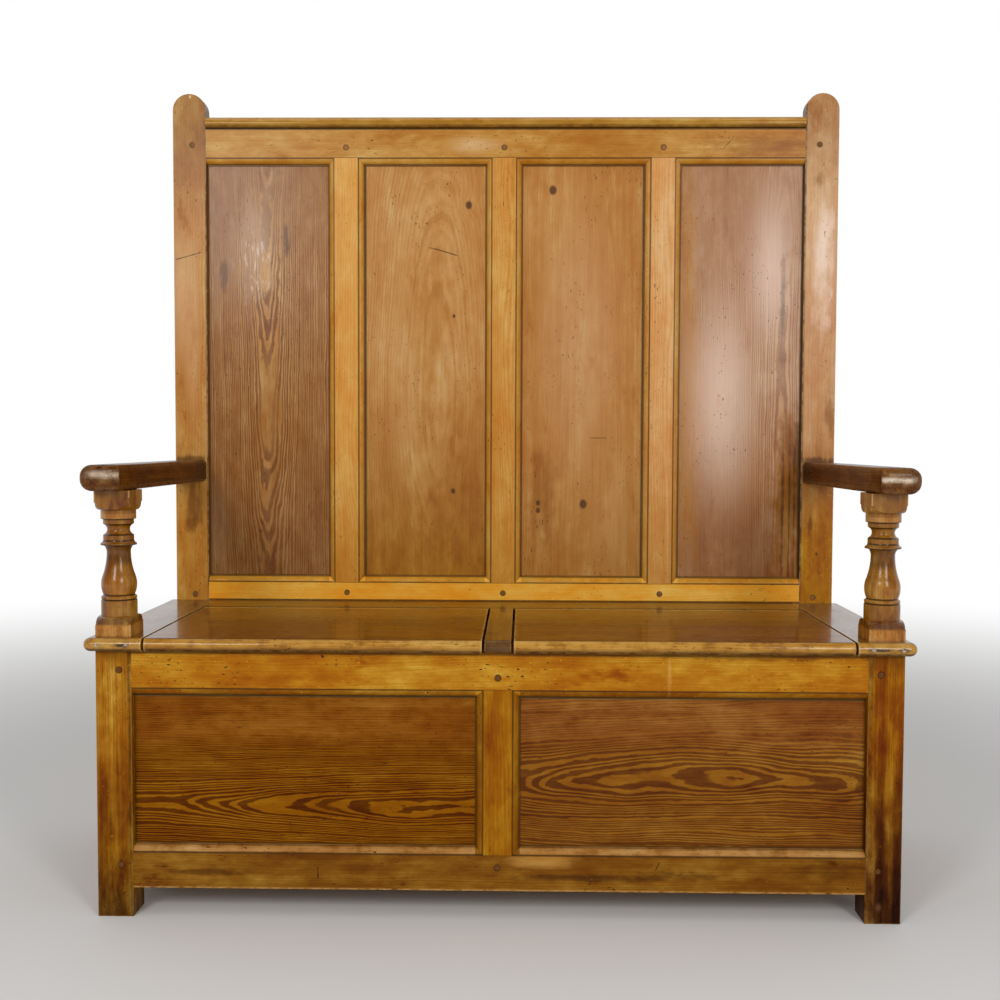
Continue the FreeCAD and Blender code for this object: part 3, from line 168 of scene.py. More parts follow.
def object_axes(s):
    """The x, y and z of a piece's own coordinates."""
    place = s.add("TexCoord", None, None, 3)
    node = s.add("SeparateXYZ", None, {0: place}).socket.node
    return [Shade(s.tree, node.outputs[i]) for i in range(3)]


def rgb(red, green, blue):
    return (red, green, blue, 1.0)


def distance(across, up):
    """How far a place lies from the origin of two coordinates."""
    return (across * across + up * up).root()


def between(value, low, high, soft):
    """1 between two places, easing to 0 outside them."""
    return value.ramp(low - soft, low + soft) * value.ramp(high - soft, high + soft, 1.0, 0.0)


# The wood

GRIME = rgb(0.030, 0.012, 0.004)
DIRT = rgb(0.075, 0.033, 0.006)
GREEN_PAINT = rgb(0.035, 0.060, 0.028)
KNOT = rgb(0.075, 0.026, 0.010)
KNOT_HEART = rgb(0.16, 0.062, 0.022)
# Pale torn fibres, which also paint the glints of a sheen
TORN_FIBRE_AND_GLINT = rgb(0.82, 0.66, 0.54)

# For each way of cutting a board: which axes run along its grain, across its face,
# and through its thickness
CUTS = {
    "upright": (2, 0, 1),
    "level": (0, 2, 1),
    "lid": (0, 1, 2),
    "seat end": (1, 0, 2),
    "side level": (1, 2, 0),
}
FACE_UP = ("lid", "seat end")


def grain_of(s, axes, cut, seed):
    """A board's coordinates along, across and through it, and the fine patterns that
    its colours and its wear share: broken runs from 0 to 1, and the others lie about 0."""
    x, y, z = axes
    u, v, w = (axes[i] for i in CUTS[cut])
    grain = SimpleNamespace(axes=axes, u=u, v=v, w=w, seed=seed)
    grain.quick = s.noise(u * 9.0, v * 45.0 + seed, w * 45.0, 3.0, 0.55) - 0.5
    grain.streaks = s.noise(u * 1.8 + seed, v * 70.0, w * 70.0 + seed, 4.0, 0.6) - 0.5
    grain.fibre = s.noise(u * 16.0, v * 560.0, w * 560.0 + seed, 2.0, 0.6) - 0.5
    grain.cloud = s.noise(u * 5.0 + seed, v * 14.0 + seed, w * 14.0, 5.0, 0.62) - 0.5
    grain.mottle = s.noise(u * 26.0 + seed, v * 50.0, w * 50.0 + seed, 3.0, 0.6) - 0.5
    grain.broken = s.noise(x * 60.0 + seed, y * 60.0, z * 60.0, 3.0, 0.65)
    return grain


def year_rings(s, grain, face, heart, lean, bow, pitch, wander, waver, knots):
    """How much dark late wood there is, and how far beside the heart a place lies."""
    u, v, w, seed = grain.u, grain.v, grain.w, grain.seed
    slow = s.noise(u * 1.6 + seed, v * 5.0, w * 5.0 + seed, 2.0) - 0.5
    slower = s.noise(u * 3.0, v * 7.0 + seed, w * 7.0, 2.0) - 0.5
    side = v - heart[0] + slow * (waver * 0.030)
    depth = w - face + heart[1] + u * lean + slower * (waver * 0.020)
    if bow[0]:
        off = u - bow[1]
        depth = depth + off * off * bow[0]
    for ku, kv, size in knots:
        du, dv = (u - ku) * 0.6, v - kv
        near = (du * du + dv * dv) / (-2 * (size * 1.8) ** 2)
        depth = depth + near.exponent() * (size * 1.5)
    rings = distance(side, depth) / pitch
    uneven = s.noise(rings * 0.37, seed, 0.0, 1.0) - 0.5
    ragged = s.noise(u * 60.0, v * 100.0 + seed, w * 100.0, 1.0) - 0.5
    rings = rings + uneven * 2.2 + grain.quick * (wander * 1.2) + ragged * (wander * 0.28)
    strength = s.chance(rings.floor() + seed)
    turn = rings.fraction()
    late_wood = turn.ramp(0.25, 0.48) * turn.ramp(0.84, 0.97, 1.0, 0.0) * (0.6 + strength * 0.4)
    return late_wood, side


def with_fades(s, colour, grain, fades):
    """Colours that take over along the board."""
    for start, end, tint, amount in fades:
        along = grain.u + grain.cloud * 0.15 + grain.streaks * 0.08
        reach = along.ramp(start, end) if start < end else along.ramp(end, start, 1.0, 0.0)
        colour = s.mix(colour, s.deepen(tint, grain.tone), reach * amount)
    return colour


def with_bands(s, colour, grain, bands):
    """Colours between limits along the axes, broken up in places. Some are painted shade and
    painted highlights.
    """
    broken_up = ((grain.broken - 0.5) * 1.4 + grain.mottle + grain.fibre).ramp(-0.30, 0.10, 0.45, 1.0)
    for tint, amount, *limits in bands:
        reach = broken_up * amount
        for axis, low, high, soft in limits:
            place = grain.axes["xyz".index(axis)] + (grain.mottle + grain.cloud) * soft
            reach = reach * between(place, low, high, soft)
        colour = s.mix(colour, s.deepen(tint, grain.tone), reach)
    return colour


def with_patches(s, colour, grain, patches):
    """Pale and dark patches, with broken edges or even ones. Some pale ones are painted sheen."""
    rough_edge = grain.cloud * 2.0 + grain.streaks * 1.2 + grain.mottle * 1.6
    for pu, pv, ru, rv, tint, amount, *even in patches:
        unevenness, full_until = (0.4, 0.0) if even else (1.0, 0.35)
        spread = distance((grain.u - pu) / ru, (grain.v - pv) / rv) + rough_edge * unevenness
        reach = spread.ramp(full_until, 1.25, amount, 0.0)
        colour = s.mix(colour, s.deepen(tint, grain.tone), reach)
    return colour


def with_torn_grain_and_glints(s, colour, grain, torn):
    """Splinters torn out of the face: their colour, with pale fibres that also paint the glints of
    a sheen, and how high they stand.
    """
    u, v, w = grain.u, grain.v, grain.w
    pu, pv, ru, rv = torn
    spot = distance((u - pu) / ru, (v - pv) / rv) + grain.cloud * 2.0 + grain.streaks
    spot = spot.ramp(0.2, 1.2, 1.0, 0.0)
    rip = s.noise(u * 42.0, v * 150.0 + grain.seed, w * 150.0, 4.0, 0.7)
    colour = s.mix(colour, TORN_FIBRE_AND_GLINT, rip.ramp(0.53, 0.66) * spot * 0.75)
    colour = s.mix(colour, GRIME, rip.ramp(0.32, 0.42, 1.0, 0.0) * spot * 0.55)
    return colour, rip * spot * 1.2


def with_knots(s, colour, grain, knots):
    """Dark knots with a lighter heart."""
    for ku, kv, size in knots:
        around = distance((grain.u - ku) * 0.8, grain.v - kv) / size + grain.quick * 0.5
        colour = s.mix(colour, KNOT, around.ramp(0.6, 1.35, 0.9, 0.0))
        colour = s.mix(colour, KNOT_HEART, around.ramp(0.3, 0.75, 0.6, 0.0))
    return colour


def with_pale_knocks(s, colour, grain, early, amount):
    """Small knocks that show paler wood."""
    u, v, w = grain.u, grain.v, grain.w
    knock = s.noise(u * 150.0 + v * 90.0, v * 210.0 - u * 110.0, w * 200.0 + grain.seed, 1.0)
    return s.mix(colour, s.dim(early, 1.9), knock.ramp(0.72, 0.77) * amount)


def with_lines(s, colour, grain, lines):
    """Dirt in the quirks and at the joints."""
    broken = grain.broken
    for direction, place, width, amount, *tint in lines:
        away = abs((grain.v if direction == "along" else grain.u) - place)
        mask = (away + (broken - 0.5) * width * 0.5).ramp(width * 0.35, width, 1.0, 0.0)
        mask = mask * broken.ramp(0.15, 0.45, 0.55, 1.0) * amount
        colour = s.mix(colour, tint[0] if tint else GRIME, mask)
    return colour


def with_scratches(s, colour, grain, scratches):
    """Scratches filled with dirt, which fade at their ends."""
    broken = grain.broken
    for u0, v0, u1, v1, width, amount in scratches:
        length = math.hypot(u1 - u0, v1 - v0)
        cu, cv = (u1 - u0) / length, (v1 - v0) / length
        du, dv = grain.u - (u0 + u1) / 2, grain.v - (v0 + v1) / 2
        along = abs(du * cu + dv * cv)
        beside = abs(dv * cu - du * cv + (broken - 0.5) * width * 1.5)
        mask = beside.ramp(width * 0.3, width, 1.0, 0.0)
        mask = mask * along.ramp(length * 0.42, length * 0.5, amount, 0.0)
        colour = s.mix(colour, GRIME, mask * broken.ramp(0.3, 0.55, 0.5, 1.0))
    return colour


def with_rims(s, colour, grain, rims):
    """Dark rims round the pegs."""
    for along, first, second in rims:
        p, q = (axis for axis, letter in zip(grain.axes, "xyz") if letter != along)
        out = distance(p - first, q - second)
        rim = out.ramp(0.0040, 0.0048) * out.ramp(0.0052, 0.0064, 1.0, 0.0)
        colour = s.mix(colour, GRIME, rim * grain.broken.ramp(0.25, 0.5, 0.35, 0.9))
    return colour


def with_worn_arrises(s, colour, grain, box, worn):
    """Another colour where two sides of a board meet."""
    tint, width, amount = worn
    a, b, c = ((axis - float(near)).least(float(far) - axis)
               for axis, near, far in zip(grain.axes, *box))
    second = a.most(b).least(b.most(c)).least(a.most(c))
    edge = (second + (grain.broken - 0.5) * width * 1.6).ramp(width * 0.4, width, 1.0, 0.0)
    return s.mix(colour, tint, edge * grain.broken.ramp(0.35, 0.6) * amount)


def wood(name, cut, early, late, heart=(0.0, 0.06), lean=0.0, bow=(0.0, 0.0), pitch=0.0030,
         contrast=0.6, calm=1.0, quiet=None, wander=1.0, waver=1.0, streak=0.8, blotch=1.4,
         fades=(), bands=(), patches=(), torn=None, stain=0.3, knots=(), pits=0.6, ticks=0.0,
         lines=(), scratches=(), rims=(), worn=None, rough=0.36, coat=0.08, coat_rough=0.25,
         shine=0.10, relief=1.0, seed=0.0):
    """Pine, with the colour early between its rings and the colour late in them.

    u is a place along the grain and v one across the face, in metres.
    heart: v of the pith, and how far it lies behind the face.
    lean, bow: how fast the pith leaves the face along u, and its curve about a u.
    pitch: the width of a ring.
    contrast: how dark the rings are.
    calm: how much of that is left far from the heart.
    quiet: the two u between which the rings grow faint.
    wander, waver: how ragged and how wavy the rings are.
    streak, blotch: how strong the streaks and the clouds are.
    fades: the u where each starts and is complete, its colour and its amount.
    bands: colour, amount, and any limits: axis, from, to, softness. A limit of 1 or -1
        metre on x or y lies past the whole settle.
    patches: u, v, half its length, half its width, colour, amount, "even" if it is soft.
    torn: u, v, half the length and half the width of torn grain, whose pale fibres also paint
    glints of a sheen.
    knots: u, v, radius.
    lines: "along" or "across", its v or u, width, amount, and its colour if not grime's.
    scratches: u and v of both ends, width, amount.
    rims: the axis that a peg runs along, and its middle on the other two.
    worn: the colour, width and amount of worn arrises.
    stain, pits, ticks: the amounts of smudges, of worm holes and of pale knocks.
    rough, coat, coat_rough, shine: the polish.
    relief: how deep the grain is, and seed: which pattern of noise the board has."""
    material, s = new_material(name)
    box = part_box(name)
    face = float(box[1 if cut in FACE_UP else 0][CUTS[cut][2]])
    grain = grain_of(s, object_axes(s), cut, seed)
    u, v, w = grain.u, grain.v, grain.w
    streaks, fibre, cloud, mottle = grain.streaks, grain.fibre, grain.cloud, grain.mottle
    late_wood, side = year_rings(s, grain, face, heart, lean, bow, pitch, wander, waver, knots)

    clear = (cloud + 0.5).ramp(0.30, 0.60, 0.6, 1.0)
    figure = late_wood * clear * contrast
    if calm < 1:
        keep = abs(side).ramp(0.025, 0.10, 1.0, calm)
        if quiet:
            keep = keep * u.ramp(*quiet, 1.0, 0.25)
        figure = figure * keep + (1 - keep) * 0.45
    colour = s.mix(early, late, (figure + streaks * 0.4).ramp(-0.02, 0.8))
    grain.tone = streaks * streak + fibre * 0.35 + cloud * blotch + mottle * (blotch * 0.5)
    colour = s.deepen(colour, grain.tone)

    height = late_wood * (0.05 * relief) + fibre * (0.05 * relief) + streaks * (0.12 * relief)
    height = height + cloud * (0.9 * relief) + mottle * (0.15 * relief)

    colour = with_fades(s, colour, grain, fades)
    colour = with_bands(s, colour, grain, bands)
    colour = with_patches(s, colour, grain, patches)
    if torn:
        colour, splinters = with_torn_grain_and_glints(s, colour, grain, torn)

    # Smudges, then knots, then worm holes filled with dark polish
    smudge = s.noise(u * 7.0 + seed, v * 17.0, w * 17.0 + seed, 4.0, 0.7)
    smudge = (smudge + streaks * 0.3).ramp(0.58, 0.74, 0.0, stain)
    colour = s.deepen(colour, smudge * -0.9)
    colour = with_knots(s, colour, grain, knots)
    speck = s.noise(u * 130.0 + seed, v * 260.0, w * 260.0 + seed, 1.0)
    some = s.noise(u * 7.0, v * 16.0 + seed, w * 16.0, 2.0)
    pit = speck.ramp(0.68, 0.74) * some.ramp(0.44, 0.62)
    colour = s.mix(colour, GRIME, pit * pits)
    if ticks:
        colour = with_pale_knocks(s, colour, grain, early, ticks)

    colour = with_lines(s, colour, grain, lines)
    colour = with_scratches(s, colour, grain, scratches)
    colour = with_rims(s, colour, grain, rims)
    if worn:
        colour = with_worn_arrises(s, colour, grain, box, worn)

    height = height - pit * 0.15
    if torn:
        height = height + splinters
    gloss = rough + cloud * 0.3 + fibre * 0.12 + smudge * 0.3
    s.cover({"Base Color": colour, "Roughness": gloss, "Normal": s.bumps(height),
             "Coat Weight": coat, "Coat Roughness": coat_rough, "Specular IOR Level": shine})
    return material


# Metal and cut ends

def metal(name, bright, dull, rough):
    """Old metal, dulled in patches."""
    material, s = new_material(name)
    x, y, z = object_axes(s)
    stain = s.noise(x * 180, y * 180, z * 180, 4.0, 0.6)
    grain = s.noise(x * 900, y * 900, z * 900, 2.0)
    s.cover({"Base Color": s.mix(bright, dull, stain.ramp(0.38, 0.66)),
             "Roughness": stain.ramp(0.3, 0.7, rough, rough + 0.25),
             "Metallic": stain.ramp(0.4, 0.75, 0.95, 0.5),
             "Normal": s.bumps(stain * 0.08 + grain * 0.02)})
    return material


def end_grain(name, light, dark, below_seat, rough):
    """The cut ends of the pegs, of another colour below the seat."""
    material, s = new_material(name)
    x, y, z = object_axes(s)
    cloud = s.noise(x * 60, y * 60, z * 60, 3.0)
    pores = s.noise(x * 900, y * 900, z * 900, 2.0)
    tone = s.mix(light, dark, (cloud * 0.6 + pores * 0.5).ramp(0.35, 0.75))
    tone = s.mix(below_seat, tone, z.ramp(0.41, 0.46, 0.25, 1.0))
    s.cover({"Base Color": tone, "Roughness": rough + cloud * 0.2,
             "Normal": s.bumps(pores * 0.08), "Specular IOR Level": 0.1})
    return material


# Where the panels show between the framing, and the mouldings round them

HALF_UPRIGHT = 0.036
BACK_MUNTINS = (-0.310, 0.0, 0.310)


def gaps_between(centres):
    """The gaps between uprights, from left to right."""
    return [(a + HALF_UPRIGHT, b - HALF_UPRIGHT) for a, b in zip(centres, centres[1:])]


BACK_GAPS = gaps_between((-0.6215, *BACK_MUNTINS, 0.6215))
BACK_LOW, BACK_TOP = 0.507, 1.315
BASE_GAPS = gaps_between((-0.628, 0.0, 0.628))
BASE_LOW, BASE_TOP = 0.119, 0.3625

# How far an upright's moulding lies from its middle, and each quirk beside it with its
# width
BEAD_NEAR, BEAD_FAR = 0.0236, 0.0362
QUIRKS = ((0.0242, 0.0020), (0.0352, 0.0022))


def panel_lines(cut, gap, low, high, green=""):
    """Dirt round a panel, with green paint beside it on one side."""
    sides = {"left": gap[0], "right": gap[1], "low": low, "high": high}
    upright = cut == "upright"
    found = []
    for side, place in sides.items():
        direction = "along" if (side in ("left", "right")) == upright else "across"
        if side in green:
            found.append((direction, place, 0.0040, 0.7, GREEN_PAINT))
        found.append((direction, place, 0.0019, 0.7, DIRT))
    return found


def upright_moulding(centre, tint):
    """The darker mouldings of an upright."""
    spans = ((centre - BEAD_FAR, centre - BEAD_NEAR), (centre + BEAD_NEAR, centre + BEAD_FAR))
    return [(tint, 0.75, ("x", *span, 0.0004)) for span in spans]


def quirks(centre):
    """Dirt along both mouldings of an upright."""
    return [("along", centre + side * out, wide, 0.75, DIRT)
            for side in (-1, 1) for out, wide in QUIRKS]


def rail_moulding(flat, edge, tint, gaps):
    """The darker moulding of a rail, only where it lies between uprights."""
    return [(tint, 0.75, ("z", *sorted((flat, edge)), 0.0004), ("x", *gap, 0.0006))
            for gap in gaps]


# How each board was cut and how it has worn, with some painted light and shade

DARK_OCHRE = rgb(0.50, 0.215, 0.018)
NOSE = rgb(0.52, 0.262, 0.042)
INK = rgb(0.014, 0.008, 0.007)
NAIL_STAINS = {-1: ((-0.612, -0.594),), 1: ((0.586, 0.622), (0.634, 0.652))}
SUPPORT_GROOVES = (0.5159, 0.5235, 0.6045, 0.6120, 0.6215, 0.6382, 0.6468)


def back_muntin(centre, early, late):
    return dict(
        cut="upright", early=early, late=late, calm=0.5, heart=(centre + 0.05, 0.08), blotch=1.5,
        fades=[(0.80, 0.50, rgb(0.56, 0.215, 0.010), 0.6)],
        bands=upright_moulding(centre, DARK_OCHRE), lines=quirks(centre))


def front_leg(side, early, late, foot):
    inner = side * BASE_GAPS[1][1]
    return dict(
        cut="upright", early=early, late=late, heart=(side * 0.56, 0.06), streak=2.2, blotch=2.7,
        stain=0.8,
        fades=[(0.32, 0.10, foot, 0.9), (0.12, 0.0, rgb(0.030, 0.008, 0.001), 0.8),
               (0.405, 0.436, rgb(0.12, 0.036, 0.001), 0.6)],
        bands=[(rgb(0.07, 0.020, 0.001), 0.8,
                ("x", *sorted((inner, inner + side * 0.007)), 0.004))],
        knots=[(0.027, 0.6134, 0.0060)] if side > 0 else [], shine=0.05, coat=0.04,
        worn=(rgb(0.34, 0.16, 0.04), 0.0025, 0.5), pits=0.9, ticks=0.3)


def seat_end(side):
    return dict(
        cut="seat end", early=rgb(0.20, 0.080, 0.006), late=rgb(0.14, 0.050, 0.003),
        heart=(side * 0.60, 0.07), rough=0.30, coat=0.5, coat_rough=0.10, relief=0.30, blotch=1.0,
        bands=[(NOSE, 0.9, ("y", -1, -0.2445, 0.003)),
               # Painted shade under the rounded nose
               (rgb(0.05, 0.018, 0.003), 0.9, ("y", -1, -0.238, 0.004), ("z", 0, 0.4415, 0.0020))]
        + [(INK, 0.95, ("y", -1, -0.2445, 0.001), ("z", 0.4446, 0.4496, 0.0020),
            ("x", *span, 0.006)) for span in NAIL_STAINS[side]],
        worn=(rgb(0.62, 0.36, 0.12), 0.0040, 0.7))


def lid(name):
    low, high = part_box(name)
    left, right = low[0], high[0]
    gap = (left - 1, left + 0.003) if name == "lid_left" else (right - 0.003, right + 1)
    return dict(
        cut="lid", early=rgb(0.205, 0.070, 0.0006), late=rgb(0.155, 0.049, 0.0004),
        heart=(0.0, 0.07), lean=0.01, rough=0.30, coat=0.38, coat_rough=0.10, shine=0.05,
        relief=0.30, blotch=1.3, pits=0.9,
        # A painted highlight along the lid's rear edge
        bands=[(rgb(0.52, 0.27, 0.060), 0.85, ("y", 0.1200, 1, 0.0030)),
               # Painted shade of the gap at the lid's outer end
               (rgb(0.012, 0.005, 0.001), 0.9, ("x", *gap, 0.0010)),
               (rgb(0.27, 0.094, 0.0004), 0.6, ("y", -0.234, -0.10, 0.04)),
               (rgb(0.060, 0.020, 0.001), 0.6, ("y", -0.2440, -0.2370, 0.004)),
               (NOSE, 1.0, ("y", -1, -0.2450, 0.0025)),
               # Painted shade on the lower part and underside of the rounded nose
               (rgb(0.21, 0.090, 0.010), 0.5, ("y", -1, -0.2450, 0.0025),
                ("z", 0.440, 0.4462, 0.0030)),
               (rgb(0.05, 0.017, 0.002), 0.95, ("y", -1, -0.238, 0.004),
                ("z", 0, 0.4420, 0.0025))],
        worn=(rgb(0.66, 0.40, 0.14), 0.0045, 0.6))


def arm_support(side, early, late):
    return dict(
        cut="upright", early=early, late=late, heart=(side * 0.60, 0.09), streak=1.4, blotch=2.4,
        stain=0.8, rough=0.26, coat=0.5, coat_rough=0.18, relief=0.6, calm=0.5,
        fades=[(0.640, 0.705, rgb(0.26, 0.105, 0.018), 0.7)],
        lines=[("across", z, 0.0020, 0.85) for z in SUPPORT_GROOVES],
        bands=[(rgb(0.105, 0.036, 0.003), 0.75, ("z", 0.574, 0.606, 0.006)),
               (rgb(0.46, 0.200, 0.032), 0.6, ("z", 0.520, 0.552, 0.008)),
               (rgb(0.25, 0.095, 0.008), 0.5, ("z", 0.489, 0.514, 0.004)),
               (rgb(0.55, 0.235, 0.034), 0.75, ("z", 0.458, 0.476, 0.003)),
               (rgb(0.50, 0.225, 0.050), 0.6, ("z", 0.648, 0.656, 0.002)),
               (rgb(0.080, 0.028, 0.003), 0.6, ("z", 0.478, 0.4885, 0.0015))],
        worn=(rgb(0.56, 0.32, 0.12), 0.0035, 0.85))


